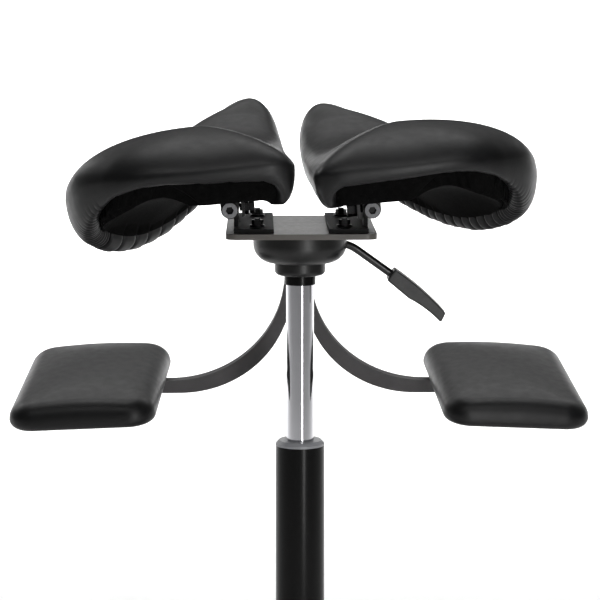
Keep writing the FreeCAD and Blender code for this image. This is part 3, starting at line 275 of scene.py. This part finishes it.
# The crown line from the nose to the rear: y, x, height, and how full the flanks are on the outer and
# inner side: 2 is a quarter ellipse, less is flatter, more is fuller.
CROWN = np.array((
    (152, 39, 96.5, 1.6, 2.0), (145, 39, 96, 1.6, 2.0), (105, 48, 82, 2.9, 2.0), (55, 60, 67, 2.5, 2.0),
    (0, 72, 64, 2.0, 2.0), (-60, 86, 73, 2.1, 1.7), (-114, 95, 88, 2.15, 1.45),
), float)
REAR_FULL = 1.42
# how finely the curves are drawn: steps between two rows, points round the edge and along the crown
CURVE_STEPS, EDGE_POINTS, CROWN_POINTS = 40, 2400, 300
# Both halves are tipped the same way, and their leather sits a little turned on the boards.
SEAT_ROLL, SEAT_TURN = math.radians(-5), math.radians(2)
PIVOT_X = joints["seat_tilt_right"]["pos_m"][0] / MM
PIVOT_Z = joints["seat_tilt_right"]["pos_m"][2] / MM


def between(a, b, slope_a, slope_b, t):
    """Smooth curve from a to b with the given slopes, at shares t of the way."""
    rise = (2 * t**3 - 3 * t**2 + 1) * a + (3 * t**2 - 2 * t**3) * b
    return rise + (t**3 - 2 * t**2 + t) * slope_a + (t**3 - t**2) * slope_b


def evenly(points, count):
    """Points evenly spaced along a closed line."""
    points = np.vstack([points, points[:1]])
    length = np.concatenate([[0], np.cumsum(np.linalg.norm(np.diff(points[:, :3], axis=0), axis=1))])
    at = np.linspace(0, length[-1], count, endpoint=False)
    return np.column_stack([np.interp(at, length, column) for column in points.T])


def closed_curve(points, count):
    """Points evenly spaced along a smooth closed curve through the rows of points."""
    after, before = np.roll(points, -1, 0), np.roll(points, 1, 0)
    steps = np.linalg.norm((after - points)[:, :3], axis=1)
    slopes = (after - before) / (steps + np.roll(steps, 1))[:, None]
    next_slopes = np.roll(slopes, -1, 0)
    t = np.linspace(0, 1, CURVE_STEPS, endpoint=False)[:, None]
    fine = [between(points[i], after[i], slopes[i] * step, next_slopes[i] * step, t)
            for i, step in enumerate(steps)]
    return evenly(np.vstack(fine), count)


def crown_curve(count):
    """The crown line as a dense smooth curve, from the rear to the nose, with the columns of its table."""
    rows = CROWN[::-1]
    y = rows[:, 0]
    slopes = np.gradient(rows, y, axis=0)
    slopes[[0, -1], 2:] = 0
    at = np.linspace(y[0], y[-1], count)
    i = np.clip(np.searchsorted(y, at, side="right") - 1, 0, len(y) - 2)
    step = (y[i + 1] - y[i])[:, None]
    return between(rows[i], rows[i + 1], slopes[i] * step, slopes[i + 1] * step, (at - y[i])[:, None] / step)


seat_edge = closed_curve(OUTLINE, EDGE_POINTS)
crown = crown_curve(CROWN_POINTS)
seat_w, seat_l = np.ptp(seat_edge[:, :2], axis=0)
print("seat half:", round(float(seat_l)), "mm long,", round(float(seat_w)), "mm wide")

# %% [markdown]
# ## The saddle top
# Over the outline the top is a dome that stands square on the widest line and runs level over the crown.
# Each way it is a quarter of a superellipse, which the crown's table makes fuller or flatter than a plain
# ellipse. At the two ends of the crown line these arcs fan out round its end point. A sculpted top could
# be freer, but this one is smooth everywhere.


# %% Heights of the top
def two_chains(line):
    """A closed seat line as its outer and its inner side, each from the rear to the nose."""
    ring = np.roll(line, -int(line[:, 1].argmin()), 0)
    turn = int(ring[:, 1].argmax())
    chains = ring[:turn + 1], ring[turn:][::-1]
    return sorted(chains, key=lambda chain: -chain[:, 0].max())


def toward_rim(x, y, centre_x, centre_y):
    """Share of the way from the crown to the rim at each point, and the rim's height in that direction."""
    share, height = np.zeros(len(x)), np.zeros(len(x))
    level = centre_y == y
    outer, inner = two_chains(seat_edge)
    for chain, picked in ((outer, level & (x >= centre_x)), (inner, level & (x < centre_x))):
        rim_x = np.interp(y[picked], chain[:, 1], chain[:, 0])
        share[picked] = (x[picked] - centre_x[picked]) / (rim_x - centre_x[picked])
        height[picked] = np.interp(y[picked], chain[:, 1], chain[:, 2])
    for end_y, end_x in (crown[0, :2], crown[-1, :2]):
        picked = ~level & (np.abs(centre_y - end_y) < 1e-6)
        angle = np.arctan2(seat_edge[:, 1] - end_y, seat_edge[:, 0] - end_x)
        order = np.argsort(angle)
        reach = np.hypot(seat_edge[:, 0] - end_x, seat_edge[:, 1] - end_y)[order]
        facing = np.arctan2(y[picked] - end_y, x[picked] - end_x)
        rim_r = np.interp(facing, angle[order], reach, period=2 * math.pi)
        height[picked] = np.interp(facing, angle[order], seat_edge[order, 2], period=2 * math.pi)
        share[picked] = np.hypot(x[picked] - end_x, y[picked] - end_y) / rim_r
    return np.clip(share, 0, 1), height


def saddle_height(x, y):
    """Height of the saddle top at points inside the outline."""
    centre_y = np.clip(y, crown[0, 0], crown[-1, 0])
    centre_x = np.interp(centre_y, crown[:, 0], crown[:, 1])
    centre_z = np.interp(centre_y, crown[:, 0], crown[:, 2])
    outer_full, inner_full = (np.interp(centre_y, crown[:, 0], crown[:, k]) for k in (3, 4))
    turn = np.arctan2(x - centre_x, np.abs(y - centre_y)) / math.pi + 0.5
    full = inner_full + (outer_full - inner_full) * turn
    behind = (y < centre_y) * np.sin(math.pi * turn)
    full += (REAR_FULL - full) * behind
    share, rim_z = toward_rim(x, y, centre_x, centre_y)
    return rim_z + (centre_z - rim_z) * (1 - share**full) ** (1 / full)


# %% [markdown]
# ## A patch and its rim
# The patch is a grid stretched over the outline with four soft corners, so no point gathers many edges
# and the highlights stay clean. The grid's four sides share the outline between them; inside, each point
# blends the four sides (a Coons patch). The rim's rings start from the same border points, so top and rim
# are one mesh.


# %% Patch and rim builders
def share_out(count, crowd):
    """Shares from 0 to 1, crowded towards both ends."""
    even = np.linspace(0, 1, count + 1)
    return even * (1 - crowd) + (0.5 - 0.5 * np.cos(math.pi * even)) * crowd


def part_of(curve, start, stop, shares):
    """Points of a closed curve between two of its places, at shares of the way."""
    at = start + (stop - start) % len(curve) * shares
    low = np.floor(at).astype(int)
    part = (at - low)[:, None]
    return curve[low % len(curve)] * (1 - part) + curve[(low + 1) % len(curve)] * part


def coons(low, high, left, right, u, v):
    """Grid of points from its four sides: low and high run along u, left and right along v."""
    u, v = u[:, None, None], v[None, :, None]
    sides = (1 - u) * left[None] + u * right[None] + (1 - v) * low[:, None] + v * high[:, None]
    corners = (1 - u) * (1 - v) * low[0] + u * (1 - v) * low[-1] + (1 - u) * v * high[0] + u * v * high[-1]
    return (sides - corners).reshape(-1, low.shape[1])


def patch_over(curve, corners, u, v):
    """Grid over a closed curve whose four corner places come in walking order."""
    a, b, c, d = [int(np.hypot(curve[:, 0] - x, curve[:, 1] - y).argmin()) for x, y in corners]
    low, right = part_of(curve, a, b, u), part_of(curve, b, c, v)
    high, left = part_of(curve, c, d, 1 - u[::-1])[::-1], part_of(curve, d, a, 1 - v[::-1])[::-1]
    return coons(low, high, left, right, u, v)


def grid_faces(columns, rows):
    """Quads of a grid whose point (i, j) has number i * rows + j, seen from above walked to the left."""
    i, j = np.meshgrid(np.arange(columns - 1), np.arange(rows - 1), indexing="ij")
    a = (i * rows + j).ravel()
    return np.column_stack([a, a + rows, a + rows + 1, a + 1])


def border(columns, rows):
    """Numbers of a grid's border points, once round: the low side, right, high and left."""
    low = [i * rows for i in range(columns)]
    right = [(columns - 1) * rows + j for j in range(1, rows)]
    high = [i * rows + rows - 1 for i in range(columns - 2, -1, -1)]
    left = list(range(rows - 2, 0, -1))
    return np.array(low + right + high + left)


def four_sides(loop, columns, rows):
    """A border loop taken apart again into low, high, left and right sides."""
    a, b, c = columns - 1, columns + rows - 2, 2 * columns + rows - 3
    return loop[:a + 1], loop[b:c + 1][::-1], np.vstack([loop[c:], loop[:1]])[::-1], loop[a:b + 1]


def ring_faces(first, count, rings):
    """Quads that join a border to rings of the same count; the rings' points follow from number count."""
    found, above = [], first
    for step in range(rings):
        below = count + step * len(first) + np.arange(len(first))
        found.append(np.column_stack([above, below, np.roll(below, -1), np.roll(above, -1)]))
        above = below
    return np.vstack(found)


def rolled_rim(rim, steps, tucks):
    """Rings from the widest line down round the rim to the turned-in edge, and which way each point faces."""
    along = np.roll(rim, -1, 0)[:, :2] - np.roll(rim, 1, 0)[:, :2]
    along /= np.linalg.norm(along, axis=1)[:, None]
    out = np.column_stack([along[:, 1], -along[:, 0], np.zeros(len(rim))])
    up = np.array((0, 0, 1.0))
    flat = rim[:, :3] * (1, 1, 0)
    height, low, width, tuck, rise = (column[:, None] for column in rim.T[2:])
    rings, facing = [], []
    for turn in np.linspace(0, math.pi / 2, steps + 1)[1:]:
        c, s = math.cos(turn), math.sin(turn)
        rings.append(flat - out * width * (1 - c) + up * (height - (height - low) * s))
        facing.append(out * c - up * s)
    for turn in np.linspace(0, math.pi / 2, tucks + 1)[1:]:
        c, s = math.cos(turn), math.sin(turn)
        rings.append(flat - out * (width + tuck * s) + up * (low + rise * (1 - c)))
        facing.append(-out * s - up * c)
    return np.array(rings), np.array(facing)


ACROSS, ALONG, RIM_STEPS, TUCK_STEPS = 48, 300, 14, 8
CROWD_ACROSS, CROWD_ALONG = 0.75, 0.35
# nose outer, nose inner, rear inner, rear outer
SEAT_CORNERS = ((84, 172), (19, 172), (16, -158), (200, -140))
COLUMNS, ROWS = ACROSS + 1, ALONG + 1
u_seat, v_seat = share_out(ACROSS, CROWD_ACROSS), share_out(ALONG, CROWD_ALONG)
seat_grid = patch_over(seat_edge, SEAT_CORNERS, u_seat, v_seat)
loop = border(COLUMNS, ROWS)
rim = seat_grid[loop]
top = seat_grid[:, :3].copy()
inside = np.setdiff1d(np.arange(len(top)), loop)
top[inside, 2] = saddle_height(top[inside, 0], top[inside, 1])
rim_rings, rim_facing = rolled_rim(rim, RIM_STEPS, TUCK_STEPS)
skin_faces = np.vstack([grid_faces(COLUMNS, ROWS), ring_faces(loop, len(top), len(rim_rings))])
print("seat skin:", len(top) + rim_rings.size // 3, "points,", len(skin_faces), "faces")

# %% [markdown]
# ## Pleats and pulls
# Where flat leather is drawn round a curved rim it has too much length, so it lies in pleats that grow
# towards the turned-in edge. A cloth simulation could find them, but not the same ones as an
# upholsterer's hands; here each pleat is a flat-topped band along the rim with a narrow crease at its
# end, growing from the widest line down.

# %% Pleated rims
round_at = np.concatenate([[0], np.cumsum(np.linalg.norm(np.diff(rim[:, :3], axis=0), axis=1))])
ring_share = np.linspace(0, 1, RIM_STEPS + TUCK_STEPS + 1)[1:]
# the depth of crease that is quite dark; a band's height where it starts, and how square it is
FULL_CREASE, BAND_START, BAND_SQUARE = 2.4, 0.4, 6
# shares of the way round the rim: where a pleat may start, where it is full, and how it grows between
START, FULL_AT, GROWTH = (0.2, 0.42), 0.7, 1.3


def pleats(rng, first, last, gap, lift, crease, half):
    """Push of pleats over the rim's rings, outward, in mm, and how deep in a crease each point is."""
    push, folds = np.zeros((2, len(ring_share), len(round_at)))
    at = first
    while at < last:
        width = rng.uniform(*gap)
        height, start = rng.uniform(*lift), rng.uniform(*START)
        t = (round_at - at) / width
        slope = height * (BAND_START + (1 - BAND_START) * t)
        band = np.where((t >= 0) & (t < 1), slope * (1 - (2 * t - 1) ** BAND_SQUARE), 0)
        gash = np.exp(-((round_at - at) / half) ** 2)
        grow = np.clip((ring_share - start) / (FULL_AT - start), 0, 1) ** GROWTH
        push += grow[:, None] * (band - crease * gash)[None]
        folds = np.maximum(folds, grow[:, None] * gash[None] * min(1, crease / FULL_CREASE))
        at += width
    return push, folds


# the border runs along the nose, the inner side, the rear and the outer side
PULLS_AFTER, PLEATS_BEFORE = 4, 30  # border points left plain at the rear's start and the wing's end
rear_from, rear_to = round_at[ACROSS + ALONG + PULLS_AFTER], round_at[2 * ACROSS + ALONG]
outer_from, outer_to = rear_to, round_at[-PLEATS_BEFORE]
# the leather's inner rear corner hangs lower on the left half
corner_at, HANG, HANG_LENGTH = round_at[ACROSS + ALONG], {1: 0, -1: 5}, 28
# fine creases where the rim turns the outer rear corner, broad pleats along the wing
FINE_FOR = 115
# For each side its seed, then fine creases, broad pleats and rear pulls, all in mm: spacing from and to,
# lift from and to, depth of the crease and half its width.
PLEATS = {
    1: (3, ((5, 8), (0.5, 1.2), 1.0, 1.3), ((10, 16), (1.2, 2.2), 1.8, 1.6),
        ((9, 16), (0.3, 0.7), 0.4, 1.4)),
    -1: (8, ((5, 8), (0.5, 1.0), 0.9, 1.3), ((22, 28), (2.4, 3.4), 3.2, 2.2),
         ((27, 31), (0.8, 1.2), 0.5, 1.4)),
}
print("pleated rim:", round(float(outer_to - outer_from)), "mm")


def worked_rim(side):
    """The rim's rings with the side's pleats and pulls, and the depth of their creases."""
    seed, *kinds = PLEATS[side]
    rng = np.random.default_rng(seed)
    turn = outer_from + FINE_FOR
    spans = (outer_from, turn), (turn, outer_to), (rear_from, rear_to)
    pushes, folds = zip(*(pleats(rng, *span, *kind) for span, kind in zip(spans, kinds)))
    rings = rim_rings + rim_facing * sum(pushes)[:, :, None]
    slack = HANG[side] * np.exp(-((round_at - corner_at) / HANG_LENGTH) ** 2)
    rings[:, :, 2] -= np.minimum(1, ring_share / ring_share[RIM_STEPS - 1])[:, None] * slack
    return rings, np.max(folds, axis=0)


# %% [markdown]
# ## From arrays to pieces
# The points so far are level and in millimetres, for the sitter's right. The left half is their mirror
# image, and both halves hang on their hinge bolts. Drawing one half and placing it twice keeps their
# form alike.

# %% Mesh from arrays
def mesh_piece(name, points, faces, finish):
    """A smooth-shaded object from points in metres."""
    mesh = bpy.data.meshes.new(name)
    mesh.from_pydata(np.asarray(points, float).tolist(), [], [list(map(int, face)) for face in faces])
    mesh.shade_smooth()
    mesh.materials.append(finish)
    piece = bpy.data.objects.new(name, mesh)
    bpy.context.scene.collection.objects.link(piece)
    return piece


def seated(points, side):
    """Level points in mm to the stool: mirrored for the left, turned, and rolled about the hinge bolt."""
    x, y, z = side * (points[:, 0] - PIVOT_X), points[:, 1], points[:, 2]
    c, s = math.cos(SEAT_TURN), math.sin(SEAT_TURN)
    x, y = x * c - y * s, x * s + y * c
    c, s = math.cos(SEAT_ROLL), math.sin(SEAT_ROLL)
    return np.column_stack([x * c + z * s + side * PIVOT_X, y, z * c - x * s + PIVOT_Z]) * MM


def sided(faces, side):
    """Faces turned inside out for a mirrored piece, so that their fronts stay outside."""
    return faces if side > 0 else faces[:, ::-1]


# %% [markdown]
# ## Foam under leather
# Foam pushes the leather out until the skin is taut. That is found by cloth physics: a coarse copy of the
# top is held along its widest line, blown up with a little pressure for twenty frames, and its moves go
# over to the fine top.

# %% Cloth physics for the tops
PRESSURE, STIFFNESS, FRAMES, SMOOTHING = 4.0, 40.0, 20, 12
MOST_MOVE = 3.0
# the coarse copies take every so many points across and along
SEAT_EVERY, PAD_EVERY = (2, 6), (2, 2)


def settled(grid, every):
    """Moves, in mm, of a grid of leather after foam pushed against it; its border is held."""
    coarse = grid[::every[0], ::every[1]]
    columns, rows = coarse.shape[:2]
    sheet = mesh_piece("taut_sheet", coarse.reshape(-1, 3) * MM, grid_faces(columns, rows), LEATHER)
    held = sheet.vertex_groups.new(name="held")
    held.add(border(columns, rows).tolist(), 1.0, "ADD")
    cloth = sheet.modifiers.new("cloth", "CLOTH").settings
    cloth.vertex_group_mass = held.name
    cloth.use_pressure, cloth.uniform_pressure_force = True, PRESSURE
    cloth.tension_stiffness = cloth.compression_stiffness = STIFFNESS
    cloth.effector_weights.gravity = 0
    for moment in range(1, FRAMES + 1):
        bpy.context.scene.frame_set(moment)
    shaped = sheet.evaluated_get(bpy.context.evaluated_depsgraph_get()).to_mesh()
    moves = np.array([point.co for point in shaped.vertices]) / MM - coarse.reshape(-1, 3)
    most = float(np.linalg.norm(moves, axis=1).max())
    moves = moves.reshape(columns, rows, 3) * min(1, MOST_MOVE / most)
    for _ in range(SMOOTHING):
        beside = moves[:-2, 1:-1] + moves[2:, 1:-1] + moves[1:-1, :-2] + moves[1:-1, 2:]
        moves[1:-1, 1:-1] = beside / 4
    bpy.data.objects.remove(sheet)
    bpy.context.scene.frame_set(1)
    print("foam push: up to", round(most, 1), "mm, scaled to", MOST_MOVE, "at most")
    shares = [np.maximum(0, 1 - np.abs(np.arange(fine)[:, None] / step - np.arange(few)))
              for fine, step, few in zip(grid.shape[:2], every, (columns, rows))]
    return np.einsum("ia,jb,abk->ijk", *shares, moves).reshape(-1, 3)


top += settled(top.reshape(COLUMNS, ROWS, 3), SEAT_EVERY)

# %% [markdown]
# ## The two leather skins
# Top and worked rim are joined to one skin per half. How deep a point lies in a crease is kept with the
# mesh, because a crease of a millimetre holds back the light; the leather finish reads it to paint shade there.

# %% Leather skins
SIDES = {"right": 1, "left": -1}
for name, side in SIDES.items():
    rings, folds = worked_rim(side)
    points = np.vstack([top, rings.reshape(-1, 3)])
    skin = mesh_piece(f"seat_leather_{name}", seated(points, side), sided(skin_faces, side), LEATHER)
    depth = skin.data.attributes.new("fold", "FLOAT", "POINT")
    depth.data.foreach_set("value", np.concatenate([np.zeros(len(top)), folds.ravel()]))
    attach(skin, f"seat_{name}")
    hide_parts(f"seat_cushion_{name}")
print("leather skins:", len(SIDES))

# %% [markdown]
# ## Dust cloth
# The underside is closed by black cloth: flat over the seat board, then following the hollow wing out to
# the rim, and drawn up to the leather's edge at the rear. It is a patch between the turned-in edges, a
# little crumpled. Cloth physics could stretch it too, but so tight a cloth hardly moves.

# %% Dust cloth
# mm: height over the bolt and reach past it under the board, and the most of the width that the board
# takes
BOARD_H, BOARD_OUT, BOARD_SHARE = 16.4, 30, 0.6
# the wing: how far its cloth sags and rises, how far in from the rim it ends, where its crumple is full
WING_SAG, WING_RISE, RIM_INSET, CRUMPLE_FROM = 12, 10, 30, 20
# where the half is narrow, inset and sag are these parts of its width
NARROW_INSET, NARROW_SAG = 1 / 4, 1 / 20
# the cloth's clearance, the strip in which it leaves its edge, and the feelers for the board
CLOTH_DROP, EDGE_BLEND, FEEL, FEEL_FROM = 1.2, 6, 6, -100
# the crumple's height, the lengths of its waves, and how much they wander and over what length
CRUMPLE, WAVE_X, WAVE_Y, WANDER, WANDER_Y = 0.5, 9, 13, 2, 23


def cloth_height(x, y):
    """Height of the dust cloth away from its edges."""
    outer, inner = two_chains(rim)
    rim_x = np.interp(y, outer[:, 1], outer[:, 0])
    out_z = np.interp(y, outer[:, 1], outer[:, 3]) + WING_RISE - CLOTH_DROP
    in_x = np.interp(y, inner[:, 1], inner[:, 0])
    flat = np.maximum(BOARD_H, np.interp(y, inner[:, 1], inner[:, 3]) - CLOTH_DROP)
    bend = np.minimum(PIVOT_X + BOARD_OUT, in_x + (rim_x - in_x) * BOARD_SHARE)
    width = rim_x - in_x
    reach = rim_x - np.minimum(RIM_INSET, width * NARROW_INSET) - bend
    t = np.clip((x - bend) / np.maximum(reach, 1), 0, 1)
    return flat + (out_z - flat) * t + 4 * np.minimum(WING_SAG, width * NARROW_SAG) * t * (1 - t)


def dust_cloth(edge):
    """Points of the cloth patch inside a closed edge."""
    points = coons(*four_sides(edge, COLUMNS, ROWS), u_seat, v_seat)
    gap, edge_z = np.full(len(points), np.inf), np.zeros(len(points))
    for place, ahead in zip(edge, np.roll(edge, -1, 0)):
        step = ahead - place
        part = np.clip((points[:, :2] - place[:2]) @ step[:2] / (step[:2] @ step[:2]), 0, 1)
        off = np.linalg.norm(points[:, :2] - place[:2] - part[:, None] * step[:2], axis=1)
        nearer = off < gap
        gap[nearer] = off[nearer]
        edge_z[nearer] = place[2] + part[nearer] * step[2]
    free = np.clip(gap / EDGE_BLEND, 0, 1)
    free = free * free * (3 - 2 * free)
    x, y = points[:, 0], points[:, 1]
    crumple = CRUMPLE * np.sin(x / WAVE_X + WANDER * np.sin(y / WANDER_Y)) * np.sin(y / WAVE_Y)
    wing = np.clip((x - PIVOT_X - BOARD_OUT) / CRUMPLE_FROM, 0, 1)
    points[:, 2] = edge_z + free * (cloth_height(x, y) + crumple * wing - edge_z)
    points[loop, 2] = edge[:, 2]
    return points


def below_board(points, board):
    """Points in metres, lowered where the seat board above or beside them would cut the cloth."""
    solid = BVHTree.FromPolygons([board.matrix_world @ point.co for point in board.data.vertices],
                                 [face.vertices for face in board.data.polygons])
    steps = (-FEEL, 0, FEEL)
    feelers = [Vector((i, j, FEEL_FROM)) * MM for i in steps for j in steps]
    up = Vector((0, 0, 1))
    for k in np.setdiff1d(np.arange(len(points)), loop):
        found = [solid.ray_cast(Vector(points[k]) + feeler, up)[0] for feeler in feelers]
        points[k, 2] = min([points[k, 2]] + [under.z - CLOTH_DROP * MM for under in found if under])
    return points


for name, side in SIDES.items():
    edge = worked_rim(side)[0][-1]
    points = below_board(seated(dust_cloth(edge), side), nodes[f"seat_pan_{name}"])
    faces = sided(grid_faces(COLUMNS, ROWS)[:, ::-1], side)
    cloth = mesh_piece(f"dust_cloth_{name}", points, faces, DUST_CLOTH)
    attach(cloth, f"seat_{name}")
    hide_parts(f"seat_dust_cover_{name}")
print("dust cloths:", len(SIDES))

# %% [markdown]
# ## Knee pads
# The pads are flat cushions with square, softly crowned tops over a board. The same patch and rim build
# them from a rounded rectangle; the crown and the rounded top edge come from how far a point is from the
# side.

# %% Knee pads
# mm: width, length, corner radius, half thickness, crown, and how far in the top edge is rounded
PAD_W, PAD_L, PAD_CORNER, PAD_HALF_T, PAD_CROWN, PAD_ROUND = 153, 208, 28, 12, 9, 18
PAD_PLACE = np.array((219.6, 105.0, 387.1))
PAD_TURNS = (("X", 10.2), ("Y", 3.0), ("Z", 4.2))
# widest height, lowest height, rim width, width and rise of the turned-in edge
PAD_RIM = (-4.0, -PAD_HALF_T, 7.0, 6.5, 1.5)
PAD_COLUMNS, PAD_ROWS, PAD_RIM_STEPS, PAD_TUCK_STEPS = 61, 81, 10, 5
PAD_POINTS, PAD_CROWD, CORNER_STEP = 1200, 0.5, 5


def pad_outline(count):
    """Rounded rectangle, walked with its inside on the left."""
    turns = np.radians(np.arange(CORNER_STEP / 2, 360, CORNER_STEP))
    x = np.sign(np.cos(turns)) * (PAD_W / 2 - PAD_CORNER) + PAD_CORNER * np.cos(turns)
    y = np.sign(np.sin(turns)) * (PAD_L / 2 - PAD_CORNER) + PAD_CORNER * np.sin(turns)
    return evenly(np.column_stack([x, y, np.tile(PAD_RIM, (len(x), 1))]), count)


def pad_height(x, y):
    """Height of the pad's top: rounded at the sides, crowned in the middle."""
    dx = np.abs(x) - (PAD_W / 2 - PAD_CORNER)
    dy = np.abs(y) - (PAD_L / 2 - PAD_CORNER)
    past = np.hypot(np.maximum(dx, 0), np.maximum(dy, 0)) + np.minimum(np.maximum(dx, dy), 0)
    depth = np.clip((PAD_CORNER - past) / PAD_ROUND, 0, 1)
    edge_z = PAD_RIM[0] + (PAD_HALF_T - PAD_RIM[0]) * np.sqrt(1 - (1 - depth) ** 2)
    spread_x = np.clip(1 - (x / PAD_W * 2) ** 2, 0, 1)
    spread_y = np.sqrt(np.clip(1 - (y / PAD_L * 2) ** 2, 0, 1))
    return edge_z + PAD_CROWN * (spread_x * spread_y)


pad_u, pad_v = share_out(PAD_COLUMNS - 1, PAD_CROWD), share_out(PAD_ROWS - 1, PAD_CROWD)
near_x, near_y = PAD_W / 2 - PAD_CORNER / 4, PAD_L / 2 - PAD_CORNER / 4
pad_corners = ((-near_x, -near_y), (near_x, -near_y), (near_x, near_y), (-near_x, near_y))
pad_grid = patch_over(pad_outline(PAD_POINTS), pad_corners, pad_u, pad_v)
pad_loop = border(PAD_COLUMNS, PAD_ROWS)
pad_top = pad_grid[:, :3].copy()
pad_inside = np.setdiff1d(np.arange(len(pad_top)), pad_loop)
pad_top[pad_inside, 2] = pad_height(pad_top[pad_inside, 0], pad_top[pad_inside, 1])
pad_top += settled(pad_top.reshape(PAD_COLUMNS, PAD_ROWS, 3), PAD_EVERY)
pad_rings, pad_facing = rolled_rim(pad_grid[pad_loop], PAD_RIM_STEPS, PAD_TUCK_STEPS)
pad_faces = np.vstack([grid_faces(PAD_COLUMNS, PAD_ROWS),
                       ring_faces(pad_loop, len(pad_top), len(pad_rings))])
for name, side in SIDES.items():
    turn = Matrix.Identity(3)
    for axis, degrees in PAD_TURNS:
        signed = degrees * (1 if axis == "X" else side)
        turn = Matrix.Rotation(math.radians(signed), 3, axis) @ turn
    points = np.vstack([pad_top, pad_rings.reshape(-1, 3)]) * (side, 1, 1)
    points = points @ np.array(turn).T + PAD_PLACE * (side, 1, 1)
    pad = mesh_piece(f"knee_leather_{name}", points * MM, sided(pad_faces, side), LEATHER)
    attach(pad, "seat_carrier")
    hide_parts(f"knee_pad_{name}")
print("knee pads:", len(SIDES))

# %% [markdown]
# ## Camera and light
# The stool is seen from behind, a little from above, from far away with a long lens. The room is a
# photographer's white sweep: a bright wall and floor behind the stool, a soft panel overhead, and little
# light on the camera's side, so that tops shine and near sides stay dark.

# %% Camera
IMAGE = 600
FOCAL_PX, DISTANCE, PITCH, AZIMUTH = 2315, 2.350, math.radians(8.05), math.radians(-1.0)
TARGET = Vector((0, 0, 0.493))
SENSOR_MM = 36
level = math.cos(PITCH)
back = Vector((math.sin(AZIMUTH) * level, -math.cos(AZIMUTH) * level, math.sin(PITCH)))
lens = bpy.data.cameras.new("camera")
lens.sensor_width = SENSOR_MM
lens.lens = FOCAL_PX / IMAGE * SENSOR_MM
camera = bpy.data.objects.new("camera", lens)
camera.location = TARGET + back * DISTANCE
camera.rotation_mode = "QUATERNION"
camera.rotation_quaternion = (-back).to_track_quat("-Z", "Y")
bpy.context.scene.collection.objects.link(camera)
bpy.context.scene.camera = camera
print("camera lens", round(lens.lens, 1), "mm")


# %% Light and floor
def panel(name, place, aim, size, power):
    """A soft rectangular light that faces aim."""
    light = bpy.data.lights.new(name, "AREA")
    light.shape = "RECTANGLE"
    light.size, light.size_y = size
    light.energy = power
    piece = bpy.data.objects.new(name, light)
    piece.location = place
    piece.visible_camera = False
    piece.rotation_mode = "QUATERNION"
    piece.rotation_quaternion = (Vector(aim) - Vector(place)).to_track_quat("-Z", "Y")
    bpy.context.scene.collection.objects.link(piece)


def stage_plane(name, corners, finish):
    """A plain four-cornered piece of the stage."""
    piece = mesh_piece(name, corners, np.array([[0, 1, 2, 3]]), finish)


# name, place, point it faces, width and height in metres, watts
PANELS = (
    ("panel_over", (0.0, 0.6, 2.7), (0, 0, 0.5), (2.0, 0.9), 18.5),
    ("panel_band", (0.0, -1.35, 2.3), (0, 0, 0.6), (2.0, 0.35), 9),
    ("panel_back_left", (-2.2, 2.2, 1.9), (-0.2, 0.1, 0.4), (1.0, 1.0), 11),
    ("panel_back_right", (2.2, 2.2, 1.9), (0.2, 0.1, 0.4), (1.0, 1.0), 3),
    ("panel_strip", (0.37, -1.15, 0.6), (0, 0, 0.6), (0.13, 1.2), 6),
    ("panel_sweep", (0.0, 2.6, 2.8), (0, 4.3, 0.5), (5.0, 1.0), 260),
)
for row in PANELS:
    panel(*row)
FLOOR_GLOW, WALL_GLOW, ROOM_GLOW = 0.14, 0.5, 0.05
WHITE = {"Base Color": linear("#f4f4f4"), "Roughness": 0.9, "Emission Color": linear("#ffffff")}
# Rolled emulsion: matt white, with a little light of its own in place of a lamp behind it.
FLOOR_PAINT, _ = new_finish("pale_floor_paint", {**WHITE, "Emission Strength": FLOOR_GLOW})
WALL_PAINT, _ = new_finish("white_wall_paint", {**WHITE, "Emission Strength": WALL_GLOW})
WIDE, DEEP, TALL, WALL_Y = 9.0, 7.0, 1.35, 4.5
foot_left, foot_right = (-WIDE, WALL_Y, 0), (WIDE, WALL_Y, 0)
stage_plane("floor", [(-WIDE, -DEEP, 0), (WIDE, -DEEP, 0), foot_right, foot_left], FLOOR_PAINT)
stage_plane("wall", [foot_left, foot_right, (WIDE, WALL_Y, TALL), (-WIDE, WALL_Y, TALL)], WALL_PAINT)
world = bpy.data.worlds.new("dim_room")
world.use_nodes = True
sky = world.node_tree.nodes["Background"].inputs
sky["Color"].default_value = linear("#ffffff")
sky["Strength"].default_value = ROOM_GLOW
bpy.context.scene.world = world
bpy.context.scene.view_settings.view_transform = "Standard"
print("light and floor are set")
